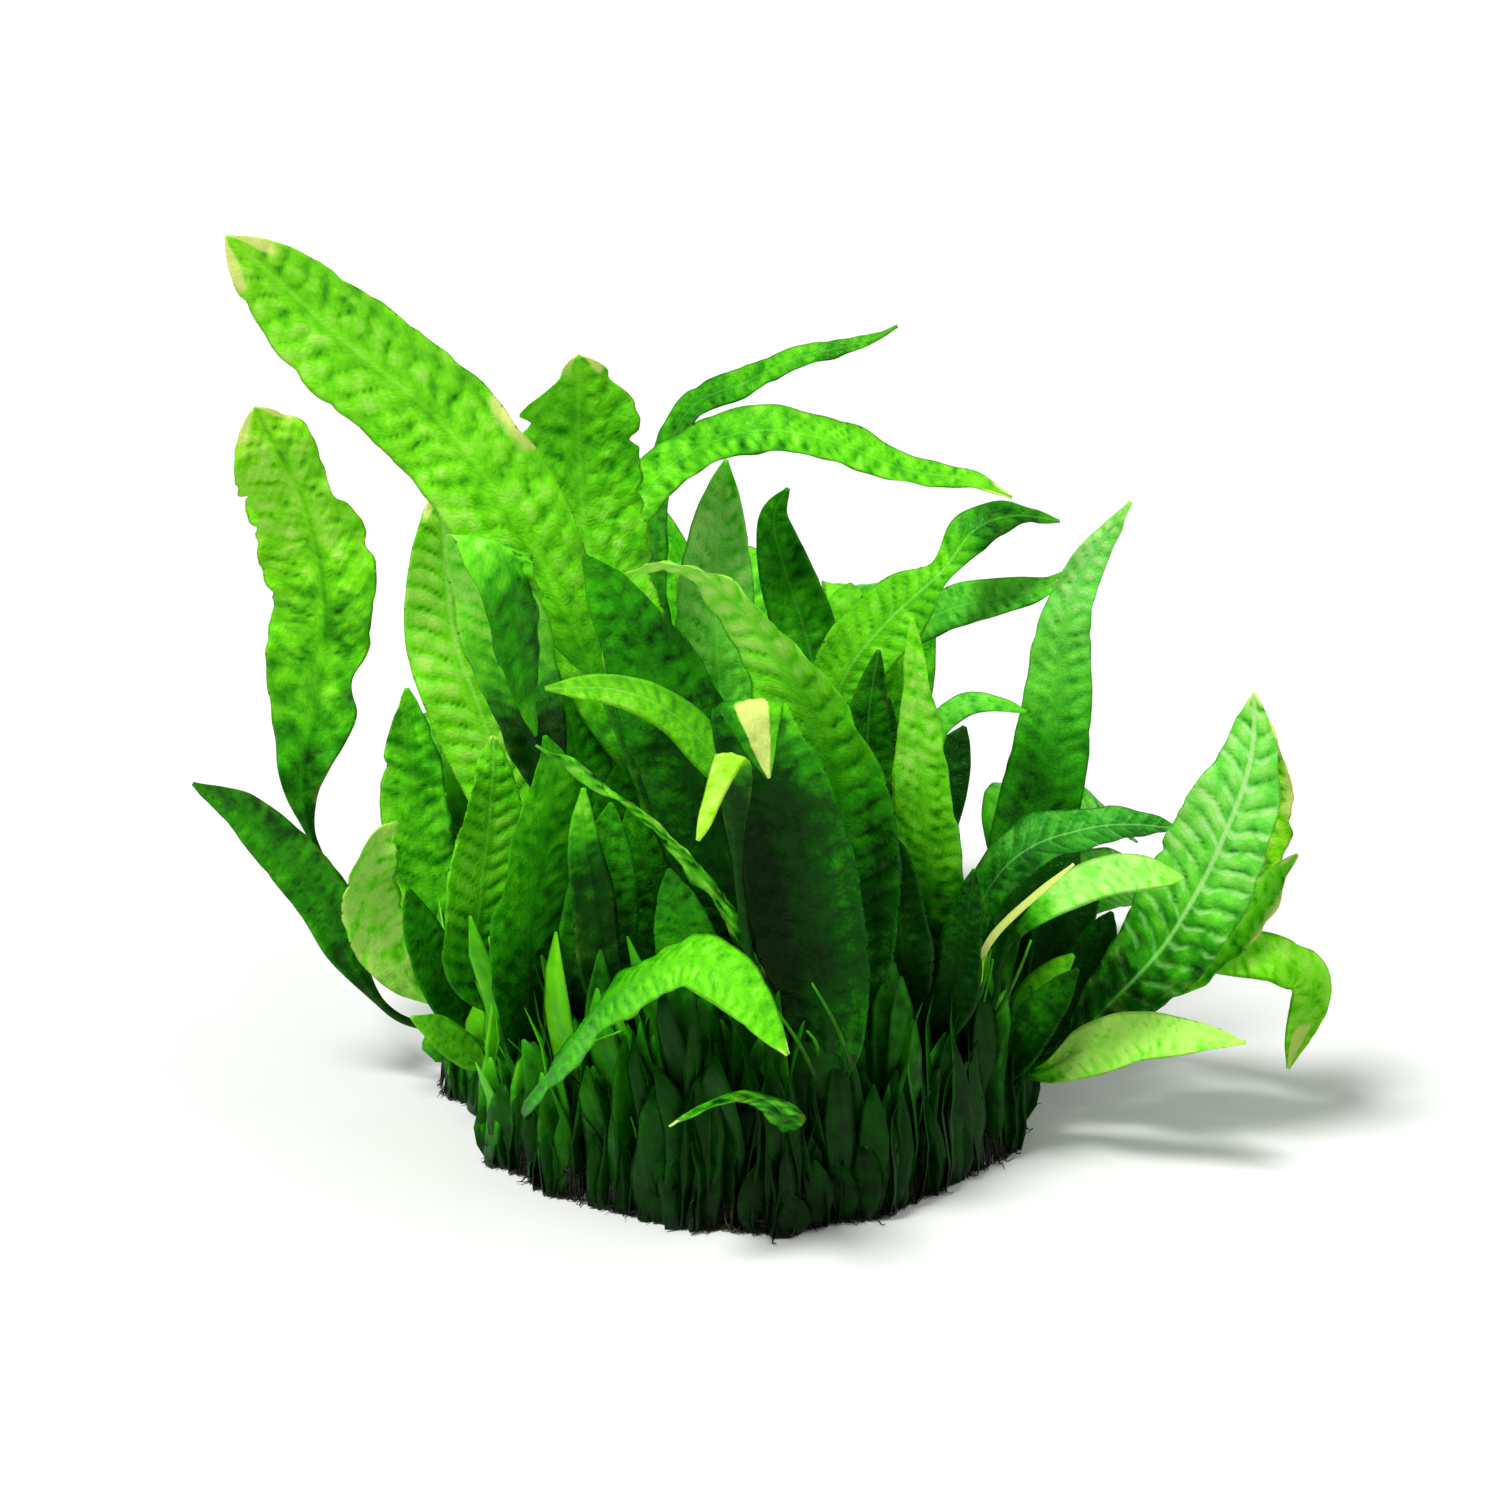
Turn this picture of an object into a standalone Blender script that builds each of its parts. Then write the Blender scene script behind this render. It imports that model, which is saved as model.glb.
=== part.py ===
"""Java fern on a coconut-fibre mat: a rectangular mat, a tangle of roots, creeping rhizomes and 52 leaves.

Young leaves are grown together with the rhizomes, so they are part of them.

Metres, +Z up. The origin is the middle of the mat's underside, +X runs along its short side and +Y
along its long side. The clump is set out as it is seen from the mat's near corner: each leaf's midrib
goes through a few points given as millimetres across, up the view, and back from the origin.
"""

import math

import bmesh
import bpy
import numpy as np
from mathutils import Vector

MM = 0.001

# The mat
MAT_WIDTH = 70 * MM
MAT_LENGTH = 118 * MM
MAT_THICK = 5 * MM
MAT_CORNER = 5 * MM
MAT_EDGE = 1 * MM

# Rhizomes and roots
RHIZOME_RADIUS = 3.0 * MM
RHIZOME_HEIGHT = 9.0 * MM
RHIZOME_RINGS = 12
ROOT_HALF_WIDTH = 17 * MM
ROOT_HALF_HEIGHT = 4.4 * MM
ROOT_HEIGHT = 5.4 * MM
ROOT_STEP = 0.13 * MM  # each pad of roots lies this much higher than the one before it
ROOT_RINGS = 8
GAP = 0.3 * MM
FOOT_LEAN = math.radians(38)
FREE_FOOT = RHIZOME_RADIUS + GAP + 0.4 * MM
GROWN_FOOT = 0.3 * RHIZOME_RADIUS

# Leaves
LEAF_THICK = 0.8 * MM
STALK_HALF_WIDTH = 0.9 * MM
TIP_HALF_WIDTH = 0.5 * MM
LEAF_CUP = 0.16
WIDEST = 0.48  # the share of the blade's length at its widest place
TIP_POWER = 2.6  # a higher power draws the blade in later, to a blunter tip
TIP_POWERS = {"leaf_tall_left": 5, "leaf_top_notched": 12, "leaf_far_left": 7, "leaf_right_big": 2,
              "leaf_right_bottom": 1.5, "leaf_upright_right": 1.5, "leaf_right_tall": 1.6}
WIDEST_PLACES = {"leaf_tall_left": 0.4, "leaf_right_big": 0.6, "leaf_pale_tip": 0.6, "leaf_right_level": 0.6,
                 "leaf_upright_right": 0.36, "leaf_right_tall": 0.3, "leaf_front_arch": 0.6}
ROWS_PER_METRE = 70
FEWEST_ROWS = 5
MOST_ROWS = 13
LINE_POINTS = 97

# The side the clump is set out from: turned round the mat, and looking down on it
VIEW_TURN = math.radians(30)
VIEW_DOWN = math.radians(20)
EYE_DISTANCE = 1.1
SIGHT_ACROSS = -7 * MM
SIGHT_UP = 73 * MM

RIGHT = np.array([math.cos(VIEW_TURN), math.sin(VIEW_TURN), 0.0])
BACK = np.array([-math.sin(VIEW_TURN), math.cos(VIEW_TURN), 0.0])
UP = np.array([0.0, 0.0, 1.0])
INTO_VIEW = BACK * math.cos(VIEW_DOWN) - UP * math.sin(VIEW_DOWN)
VIEW_UP = np.cross(RIGHT, INTO_VIEW)
TO_VIEWER = -INTO_VIEW

# Room that the leaves keep from each other along the line of sight
CLEARANCE = 2.4 * MM
FOOT_ZONE = 14 * MM
KNOTS = 8
SETTLE_ROUNDS = 160

# Where each rhizome creeps over the mat, in millimetres along X and Y
RHIZOMES = {
    "rhizome_left": ((-24, -53), (-25, -28), (-21, 0), (-25, 29), (-21, 52)),
    "rhizome_middle": ((4, -54), (-3, -24), (3, 10), (-3, 51)),
    "rhizome_right": ((26, -53), (24, -29), (27, -5), (41, 14)),
    "rhizome_branch": ((-33, -16), (-46, -22), (-59, -28)),
    "rhizome_back": ((21, 25), (26, 40), (21, 54)),
}

# Roots also run across both ends of the mat, in millimetres along X and Y
ROOT_ENDS = (((-31, -48), (31, -49)), ((-30, 46), (28, 47)))

# Each leaf: its name, its rhizome and the share of the rhizome's length where it grows, the blade's
# width, the share of the length that is bare stalk, the turn of the blade at foot, middle and tip in
# degrees from facing the viewer, and the midrib's points above the foot as (across, up, back).
LEAVES = (
    ("leaf_tall_left", "rhizome_middle", 0.15, 24, 0.43, (0, 0, 8),
     ((-18, 31, -28), (-30, 65, -32), (-42, 94, -34), (-55, 119, -34), (-71, 141, -32), (-93, 160, -32),
      (-117, 181, -36))),
    ("leaf_top_notched", "rhizome_middle", 0.42, 25, 0.3, (0, 0, -8),
     ((-9, 31, 2), (-24, 63, 8), (-37, 96, 12), (-42, 122, 14), (-43, 140, 13), (-43, 156, 10))),
    ("leaf_far_left", "rhizome_branch", 0.87, 24, 0.36, (0, 12, 0),
     ((-81, 26, 10), (-95, 46, 14), (-101, 64, 18), (-98, 84, 22), (-96, 103, 24), (-101, 126, 22),
      (-111, 145, 16))),
    ("leaf_left_inner", "rhizome_left", 0.24, 21, 0.3, (0, 0, 0),
     ((-50, 21, -8), (-55, 46, -4), (-60, 69, 0), (-64, 82, 2), (-69, 96, 4), (-71, 113, 4),
      (-72, 129, 2))),
    ("leaf_drooping", "rhizome_left", 0.31, 19, 0.3, (0, 20, 32),
     ((-44, 46, -14), (-54, 84, -28), (-60, 107, -36), (-61, 117, -41), (-58, 109, -47), (-55, 94, -49),
      (-52, 76, -49))),
    ("leaf_arched_big", "rhizome_right", 0.3, 22, 0.02, (0, 0, 60),
     ((14, 17, -48), (14, 42, -52), (11, 65, -56), (4, 84, -58), (-4, 97, -58), (-14, 107, -56),
      (-25, 112, -54), (-33, 110, -52))),
    ("leaf_small_left", "rhizome_right", 0.09, 8.5, 0.5, (0, 0, 15),
     ((-2, 31, -60), (-8, 61, -60), (-18, 76, -60), (-27, 83, -60), (-37, 86, -58), (-50, 86, -54))),
    ("leaf_folded_tip", "rhizome_right", 0.14, 23, 0.02, (0, 0, 0),
     ((9, 10, -62), (6, 35, -67), (2, 57, -71), (-4, 74, -76), (-7, 83, -81), (-6, 80, -86),
      (-3, 67, -88))),
    ("leaf_pale_tip", "rhizome_right", 0.05, 7, 0.6, (0, 0, 25),
     ((-3, 10, -70), (-8, 35, -73), (-10, 56, -76), (-10, 69, -79), (-12, 71, -83), (-18, 54, -86))),
    ("leaf_upright_right", "rhizome_right", 0.64, 17, 0.1, (0, 0, 0),
     ((32, 21, -34), (31, 42, -48), (30, 61, -58), (29, 78, -63), (28, 90, -66), (27, 101, -66))),
    ("leaf_right_tall", "rhizome_right", 0.8, 17, 0.2, (0, 0, 20),
     ((45, 29, -14), (51, 50, -12), (55, 67, -10), (58, 84, -8), (59, 98, -8), (64, 112, -10),
      (73, 125, -14))),
    ("leaf_right_thin", "rhizome_middle", 0.76, 10, 0.4, (0, 50, 60),
     ((16, 71, 20), (21, 94, 16), (34, 102, 12), (45, 105, 8), (55, 107, 6), (61, 111, 6))),
    ("leaf_bridge", "rhizome_right", 0.7, 7, 0.5, (0, 50, 68),
     ((31, 56, -14), (32, 74, -14), (36, 81, -15), (42, 83, -16), (51, 81, -18))),
    ("leaf_right_arch", "rhizome_right", 0.74, 14, 0.28, (0, 42, 50),
     ((42, 20, -22), (41, 35, -26), (45, 46, -28), (53, 53, -28), (63, 56, -26), (74, 57, -24),
      (84, 56, -22))),
    ("leaf_right_big", "rhizome_right", 1.0, 22, 0.05, (0, -8, -12),
     ((58, 9, -16), (69, 20, -22), (80, 32, -27), (88, 45, -31), (94, 58, -34), (98, 70, -35),
      (99, 85, -34))),
    ("leaf_right_ragged", "rhizome_back", 0.3, 15, 0.3, (0, 0, 0),
     ((58, 27, 12), (73, 32, 4), (87, 40, -2), (97, 50, -8), (102, 63, -12), (102, 73, -14),
      (101, 81, -14))),
    ("leaf_right_low", "rhizome_back", 0.1, 14, 0.35, (0, 20, 20),
     ((66, 17, -4), (81, 26, -12), (94, 35, -18), (102, 43, -22), (108, 51, -24))),
    ("leaf_right_bottom", "rhizome_right", 0.92, 12, 0.2, (0, 10, 25),
     ((54, 5, -24), (63, 9, -31), (75, 12.5, -37), (86, 12.5, -42), (97, 11.5, -46))),
    ("leaf_right_level", "rhizome_right", 0.58, 8.5, 0.55, (0, 30, 20),
     ((42, 17, -34), (46, 30, -40), (54, 39, -44), (64, 45, -46), (74, 47, -46), (84, 46, -46))),
    ("leaf_yellow_sliver", "rhizome_right", 0.5, 3.4, 0.5, (0, 30, 30),
     ((38, 19, -38), (42, 30, -46), (47, 37, -50), (55, 44, -54), (61, 49, -56))),
    ("leaf_top_arch", "rhizome_middle", 0.55, 12, 0.26, (0, 45, 60),
     ((-18, 52, 14), (-28, 88, 22), (-33, 113, 28), (-29, 127, 30), (-18, 136, 30), (-4, 140, 28),
      (12, 137, 26), (25, 132, 24), (38, 130, 22), (48, 126, 20))),
    ("leaf_mid_right", "rhizome_middle", 0.61, 15, 0.3, (0, 20, 58),
     ((10, 46, 4), (9, 70, 4), (13, 88, 2), (23, 101, 0), (33, 110, 0), (40, 119, 2),
      (48, 122, 4), (58, 121, 6))),
    ("leaf_top_centre", "rhizome_middle", 0.46, 18, 0.22, (0, 0, 0),
     ((-9, 42, 16), (-12, 71, 24), (-14, 96, 32), (-14, 113, 36), (-13, 126, 38), (-12, 134, 38))),
    ("leaf_top_hook", "rhizome_middle", 0.65, 14, 0.28, (0, 0, 0),
     ((10, 50, 22), (9, 75, 30), (5, 96, 36), (0, 112, 40), (-2, 122, 42), (1, 128, 42))),
    ("leaf_left_low", "rhizome_branch", 1.0, 12, 0.22, (0, 10, 20),
     ((-81, 17, 6), (-91, 29, 6), (-96, 41, 4), (-104, 51, 2), (-113, 60, 0), (-124, 66, -2))),
    ("leaf_left_mottled", "rhizome_branch", 0.59, 14, 0.3, (0, 0, 0),
     ((-75, 21, -2), (-84, 33, -6), (-87, 44, -8), (-85, 53, -8), (-81, 58, -6))),
    ("leaf_left_wavy", "rhizome_branch", 0.73, 15, 0.15, (0, 0, 0),
     ((-70, 22, 14), (-74, 42, 16), (-77, 58, 17), (-78, 73, 18), (-79, 86, 18))),
    ("leaf_left_ribbed", "rhizome_branch", 0.2, 17, 0.16, (0, 0, 0),
     ((-63, 25, -14), (-64, 42, -16), (-62, 56, -16), (-61, 67, -16), (-61, 76, -14))),
    ("leaf_front_broad", "rhizome_left", 0.1, 20, 0.08, (0, 0, 0),
     ((-53, 8, -36), (-54, 31, -42), (-51, 52, -46), (-49, 67, -48), (-50, 76, -48))),
    ("leaf_bright_tip", "rhizome_middle", 0.02, 9, 0.15, (0, 0, 0),
     ((-37, 21, -50), (-40, 42, -52), (-42, 54, -53), (-42, 65, -54))),
    ("leaf_twisted", "rhizome_right", 0.25, 11, 0.35, (0, 60, 60),
     ((1, 14, -66), (-6, 29, -66), (-14, 43, -66), (-23, 53, -64), (-33, 62, -62), (-43, 69, -60),
      (-52, 74, -58))),
    ("leaf_front_arch", "rhizome_left", 0.0, 14, 0.05, (0, 10, 25),
     ((-54, -3, -46), (-48, 6, -56), (-39, 18, -66), (-28, 26, -76), (-19, 29, -84),
      (-10, 24, -92), (1, 9, -98))),
    ("leaf_front_thin", "rhizome_left", 0.05, 6, 0.35, (0, 40, 50),
     ((-54, -1, -42), (-49, 6, -48), (-42, 11, -54), (-34, 14, -58))),
    ("leaf_front_small", "rhizome_right", 0.0, 12, 0.2, (0, 10, 10),
     ((0, -3, -74), (-7, 1, -80), (-15, -1, -84), (-24, -6, -87))),
    ("leaf_left_hook", "rhizome_branch", 0.05, 7, 0.4, (0, 20, 30),
     ((-61, 8, -10), (-68, 11, -14), (-73, 15, -18), (-78, 17, -22))),
    ("leaf_dark_mid", "rhizome_middle", 0.09, 23, 0.1, (0, 0, 0),
     ((-8, 31, -44), (-14, 58, -44), (-22, 79, -44), (-30, 96, -44), (-37, 107, -43), (-42, 114, -42))),
    ("leaf_mid_back", "rhizome_middle", 0.7, 12, 0.15, (0, 0, 0),
     ((20, 42, 0), (18, 63, -6), (18, 80, -8), (20, 94, -8))),
    ("leaf_right_small", "rhizome_right", 0.86, 8, 0.3, (0, 10, 10),
     ((47, 12, -18), (52, 20, -22), (57, 26, -24), (61, 30, -24))),
    ("leaf_top_back", "rhizome_middle", 0.85, 8, 0.32, (0, 50, 65),
     ((-13, 63, 40), (-25, 100, 46), (-26, 126, 48), (-20, 144, 48), (-8, 150, 46), (3, 155, 44),
      (18, 159, 42),
      (24, 162, 42))),
    ("leaf_right_far", "rhizome_back", 0.6, 10, 0.4, (0, 30, 0),
     ((58, 28, 24), (70, 29, 16), (82, 29, 8), (94, 30, 0), (104, 29, -6), (111, 23, -10), (106, 6, -14))),
    ("leaf_back_1", "rhizome_left", 0.6, 23, 0.24, (0, 0, 0),
     ((-24, 48, 34), (-36, 82, 48), (-50, 106, 62), (-64, 116, 78), (-76, 112, 94))),
    ("leaf_back_2", "rhizome_left", 0.75, 24, 0.24, (0, 0, 0),
     ((-14, 56, 50), (-22, 90, 60), (-32, 114, 72), (-42, 122, 86), (-50, 116, 102))),
    ("leaf_back_3", "rhizome_left", 0.9, 22, 0.2, (0, 0, 0),
     ((0, 58, 62), (-4, 88, 72), (-10, 106, 84), (-16, 108, 100), (-22, 96, 116))),
    ("leaf_back_4", "rhizome_middle", 1.0, 23, 0.22, (0, 0, 0),
     ((22, 54, 58), (22, 84, 68), (20, 104, 80), (18, 106, 96), (16, 92, 112))),
    ("leaf_back_5", "rhizome_left", 1.0, 18, 0.2, (0, 0, 0),
     ((10, 50, 70), (14, 68, 84), (18, 72, 98), (22, 64, 110))),
    ("leaf_back_6", "rhizome_back", 0.5, 20, 0.2, (0, 0, 0),
     ((46, 40, 34), (54, 56, 50), (64, 60, 66), (74, 54, 80))),
    ("leaf_back_7", "rhizome_back", 0.8, 19, 0.2, (0, 0, 0),
     ((48, 42, 46), (50, 58, 62), (54, 62, 78), (60, 52, 92))),
    ("leaf_back_8", "rhizome_back", 1.0, 16, 0.2, (0, 0, 0),
     ((54, 36, 52), (62, 44, 66), (72, 46, 80), (80, 41, 92))),
    ("leaf_back_9", "rhizome_left", 0.45, 21, 0.24, (0, 0, 0),
     ((-36, 36, 16), (-50, 58, 28), (-64, 72, 40), (-76, 74, 54), (-84, 66, 66))),
    ("leaf_back_10", "rhizome_left", 0.57, 20, 0.22, (0, 0, 0),
     ((-28, 50, 22), (-38, 84, 30), (-46, 108, 38), (-52, 118, 46))),
    ("leaf_back_11", "rhizome_middle", 0.92, 20, 0.2, (0, 0, 0),
     ((20, 60, 50), (16, 86, 54), (14, 102, 58), (14, 108, 64))),
    ("leaf_back_12", "rhizome_left", 0.37, 15, 0.2, (0, 20, 20),
     ((-44, 24, 6), (-58, 38, 14), (-72, 44, 24), (-86, 42, 34))),
)

# Young leaves that are grown together with their rhizomes: as above, without a name
YOUNG_LEAVES = (
    ("rhizome_left", 0.17, 16, 0.1, (0, 0, 0), ((-40, 20, -38), (-38, 42, -40), (-36, 62, -42))),
    ("rhizome_left", 0.28, 14, 0.1, (0, 0, 0), ((-46, 30, -24), (-47, 50, -24), (-45, 66, -24))),
    ("rhizome_left", 0.41, 15, 0.1, (0, 0, 0), ((-38, 34, -12), (-36, 56, -14), (-33, 72, -14))),
    ("rhizome_left", 0.49, 15, 0.15, (0, 0, 0), ((-38, 44, 6), (-42, 66, 8), (-46, 86, 10))),
    ("rhizome_left", 0.535, 15, 0.15, (0, 0, 0), ((-34, 42, 14), (-38, 62, 14), (-40, 78, 16))),
    ("rhizome_left", 0.84, 14, 0.15, (0, 0, 0), ((-8, 50, 48), (-6, 72, 54), (-6, 88, 60))),
    ("rhizome_middle", 0.05, 15, 0.1, (0, 0, 0), ((-16, 14, -52), (-20, 32, -56), (-24, 48, -58))),
    ("rhizome_middle", 0.22, 15, 0.1, (0, 0, 0), ((-22, 30, -20), (-28, 48, -20), (-32, 62, -18))),
    ("rhizome_middle", 0.28, 14, 0.1, (0, 0, 0), ((-6, 28, -30), (-4, 48, -32), (-1, 64, -32))),
    ("rhizome_middle", 0.34, 15, 0.15, (0, 0, 0), ((-18, 40, -16), (-20, 62, -18), (-19, 80, -18))),
    ("rhizome_middle", 0.5, 14, 0.15, (0, 0, 0), ((6, 38, -4), (8, 60, -8), (11, 76, -12))),
    ("rhizome_middle", 0.8, 14, 0.15, (0, 0, 0), ((14, 48, 36), (18, 68, 40), (22, 84, 44))),
    ("rhizome_middle", 0.96, 14, 0.15, (0, 0, 0), ((26, 46, 44), (32, 64, 50), (38, 78, 56))),
    ("rhizome_right", 0.34, 13, 0.1, (0, 0, 0), ((8, 24, -42), (2, 42, -44), (-4, 58, -48))),
    ("rhizome_right", 0.38, 13, 0.1, (0, 0, 0), ((24, 22, -44), (24, 42, -52), (22, 58, -58))),
    ("rhizome_right", 0.45, 10, 0.15, (0, 0, 0), ((34, 18, -42), (38, 34, -50), (40, 48, -56))),
    ("rhizome_right", 0.89, 12, 0.15, (0, 0, 0), ((44, 22, -2), (48, 40, 0), (50, 56, 4))),
    ("rhizome_right", 0.96, 12, 0.15, (0, 0, 0), ((50, 20, 2), (58, 34, 6), (66, 46, 10))),
    ("rhizome_right", 0.98, 11, 0.15, (0, 0, 0), ((56, 14, -8), (63, 26, -10), (69, 39, -12))),
    ("rhizome_right", 0.82, 10, 0.1, (0, 0, 0), ((46, 8, -28), (54, 17, -32), (62, 27, -34))),
    ("rhizome_back", 0.2, 12, 0.15, (0, 0, 0), ((44, 26, 14), (50, 42, 16), (54, 56, 20))),
    ("rhizome_back", 0.4, 12, 0.15, (0, 0, 0), ((46, 28, 24), (54, 42, 30), (62, 52, 38))),
    ("rhizome_branch", 0.3, 12, 0.15, (0, 0, 0), ((-58, 14, 0), (-66, 28, 0), (-72, 40, 4))),
    ("rhizome_branch", 0.48, 12, 0.15, (0, 0, 0), ((-68, 24, 20), (-76, 38, 28), (-84, 46, 36))),
    ("rhizome_branch", 0.4, 11, 0.15, (0, 0, 0), ((-68, 20, -12), (-75, 32, -18), (-79, 44, -20))),
)


def seen(across, up, back):
    """The point that lies back from the origin and shows at (across, up) to the eye, all in millimetres."""
    across, up, back = across * MM, up * MM, back * MM
    spread_up = (up - SIGHT_UP) / EYE_DISTANCE
    spread_across = (across - SIGHT_ACROSS) / EYE_DISTANCE
    sine, cosine = math.sin(VIEW_DOWN), math.cos(VIEW_DOWN)
    height = (up + back * (spread_up * cosine - sine)) / (cosine + spread_up * sine)
    into = back * cosine - height * sine
    return RIGHT * (across + spread_across * into) + BACK * back + UP * height


def smooth_line(points, count):
    """A Catmull-Rom curve through the points, read at equal steps of its length."""
    points = np.asarray(points, float)
    ends = np.vstack([2 * points[0] - points[1], points, 2 * points[-1] - points[-2]])
    t = np.linspace(0, 1, 24, endpoint=False)[:, None]
    runs = []
    for a, b, c, d in zip(ends, ends[1:], ends[2:], ends[3:]):
        runs.append(0.5 * (2 * b + (c - a) * t + (2 * a - 5 * b + 4 * c - d) * t**2
                           + (3 * b - a - 3 * c + d) * t**3))
    line = np.vstack([*runs, points[-1:]])
    lengths = np.concatenate([[0], np.cumsum(np.linalg.norm(np.diff(line, axis=0), axis=1))])
    steps = np.linspace(0, lengths[-1], count)
    return np.column_stack([np.interp(steps, lengths, line[:, k]) for k in range(3)]), lengths[-1]


def level_line(places, height, count=60):
    return smooth_line([(x * MM, y * MM, height) for x, y in places], count)[0]


def rhizome_line(name):
    return level_line(RHIZOMES[name], RHIZOME_HEIGHT)


def foot_of(rhizome, share, goal, reach):
    """Where a stalk starts: above the rhizome's middle line, leaning to the side that the stalk goes to."""
    line = rhizome_line(rhizome)
    place = share * (len(line) - 1)
    index = min(int(place), len(line) - 2)
    point = line[index] + (line[index + 1] - line[index]) * (place - index)
    along = line[index + 1] - line[index]
    aside = np.cross(along / np.linalg.norm(along), UP)
    way = (goal - point) / np.linalg.norm(goal - point)
    lean = FOOT_LEAN * np.clip(way.dot(aside) * 2, -1, 1)
    return point + (aside * math.sin(lean) + UP * math.cos(lean)) * reach


class Leaf:
    """A leaf's surface: its midrib, how wide it is, and the way its blade faces."""

    def __init__(self, name, rhizome, share, width, stalk, turns, points, foot=FREE_FOOT):
        self.name = name
        self.width = width * MM
        self.stalk = stalk
        self.turns = np.radians(turns)
        self.widest = WIDEST_PLACES.get(name, WIDEST)
        self.tip_power = TIP_POWERS.get(name, TIP_POWER)
        goals = [seen(*point) for point in points]
        start = foot_of(rhizome, share, goals[0], foot)
        self.line, self.length = smooth_line([start, *goals], LINE_POINTS)
        self.shift = np.zeros(KNOTS)

    def half_width(self, v):
        """Lance-shaped: the stalk widens as a sine wave up to the widest place, then draws in to the tip."""
        blade = np.clip((v - self.stalk) / (1 - self.stalk), 0, 1)
        widening = np.sin(np.pi / 2 * np.clip(blade / self.widest, 0, 1)) ** 1.2
        narrowing = (1 - np.clip((blade - self.widest) / (1 - self.widest), 0, 1) ** self.tip_power) ** 0.8
        bulge = widening * narrowing * self.width / 2
        return np.maximum(np.hypot(bulge, STALK_HALF_WIDTH * (1 - 0.5 * blade)), TIP_HALF_WIDTH)

    def frames(self):
        """Sideways and face directions along the midrib, carried along it without spin, then turned."""
        tangents = np.gradient(self.line, axis=0)
        tangents /= np.linalg.norm(tangents, axis=1)[:, None]
        side = np.cross(tangents[0], TO_VIEWER)
        sides = []
        for tangent in tangents:
            side = side - tangent * side.dot(tangent)
            side = side / np.linalg.norm(side)
            sides.append(side)
        sides = np.array(sides)
        faces = np.cross(sides, tangents)
        turn = np.interp(np.linspace(0, 1, len(sides)), (0, 0.5, 1), self.turns)[:, None]
        turned = sides * np.cos(turn) + faces * np.sin(turn)
        return turned, np.cross(turned, tangents)

    def surface(self, u, v):
        """The point at u from -1 to 1 across and v from 0 to 1 along, for arrays of one shape."""
        sides, faces = self.frames()
        places = np.linspace(0, 1, len(self.line))

        def read(table):
            return np.stack([np.interp(v, places, table[:, k]) for k in range(3)], axis=-1)

        half = self.half_width(v)
        cup = LEAF_CUP * half * u**2
        away = np.interp(v, np.linspace(0, 1, KNOTS), self.shift)
        return (read(self.line) + read(sides) * (u * half)[..., None] + read(faces) * cup[..., None]
                + INTO_VIEW * away[..., None])


def near_pairs(leaves, reach=3.4 * MM, rows=48, columns=7):
    """Sample points of two leaves that show close together: leaf, place along it, and depth of each."""
    v, u = np.meshgrid(np.linspace(0, 1, rows), np.linspace(-1, 1, columns), indexing="ij")
    v, u = v.ravel(), u.ravel()
    grids = [leaf.surface(u, v) for leaf in leaves]
    flat = [np.column_stack([grid @ RIGHT, grid @ VIEW_UP]) for grid in grids]
    found = []
    for i, first in enumerate(leaves):
        for j in range(i + 1, len(leaves)):
            second = leaves[j]
            low = np.maximum(flat[i].min(0), flat[j].min(0)) - reach
            high = np.minimum(flat[i].max(0), flat[j].max(0)) + reach
            if (low > high).any():
                continue
            apart = np.linalg.norm(flat[i][:, None] - flat[j][None], axis=2)
            a, b = np.nonzero(apart < reach)
            free = np.maximum(v[a] * first.length, v[b] * second.length) > FOOT_ZONE
            a, b = a[free], b[free]
            if not len(a):
                continue
            depth_a, depth_b = grids[i][a] @ INTO_VIEW, grids[j][b] @ INTO_VIEW
            if (depth_b - depth_a).sum() >= 0:
                found.append((np.full(len(a), i), v[a], depth_a, np.full(len(a), j), v[b], depth_b))
            else:
                found.append((np.full(len(a), j), v[b], depth_b, np.full(len(a), i), v[a], depth_a))
    return [np.concatenate(column) for column in zip(*found)]


def settle(leaves):
    """Slides parts of leaves along the line of sight until each keeps its clearance from those behind it."""
    front, front_v, front_depth, rear, rear_v, rear_depth = near_pairs(leaves)
    shift = np.zeros((len(leaves), KNOTS))

    def knots_of(v):
        place = v * (KNOTS - 1)
        low = np.minimum(place.astype(int), KNOTS - 2)
        return low, place - low

    front_low, front_share = knots_of(front_v)
    rear_low, rear_share = knots_of(rear_v)

    def moved(leaf, low, share):
        return shift[leaf, low] * (1 - share) + shift[leaf, low + 1] * share

    for _ in range(SETTLE_ROUNDS):
        room = (rear_depth + moved(rear, rear_low, rear_share)
                - front_depth - moved(front, front_low, front_share))
        short = np.maximum(CLEARANCE - room, 0)
        forward, backward = np.zeros_like(shift), np.zeros_like(shift)
        for step, share in ((0, 1 - front_share), (1, front_share)):
            np.maximum.at(forward, (front, front_low + step), short * share)
        for step, share in ((0, 1 - rear_share), (1, rear_share)):
            np.maximum.at(backward, (rear, rear_low + step), short * share)
        shift += 0.35 * (backward - forward)
        shift[:, 1:-1] += 0.12 * (shift[:, :-2] + shift[:, 2:] - 2 * shift[:, 1:-1])
        shift[:, 0] = 0
    for leaf, row in zip(leaves, shift):
        leaf.shift = row


def all_leaves():
    """The leaves, and the young leaves of each rhizome, all settled together."""
    leaves = [Leaf(*row) for row in LEAVES]
    young = {name: [] for name in RHIZOMES}
    for rhizome, *rest in YOUNG_LEAVES:
        name = f"{rhizome}_young_{len(young[rhizome]) + 1}"
        young[rhizome].append(Leaf(name, rhizome, *rest, foot=GROWN_FOOT))
    settle(leaves + [leaf for group in young.values() for leaf in group])
    return leaves, young


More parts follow.
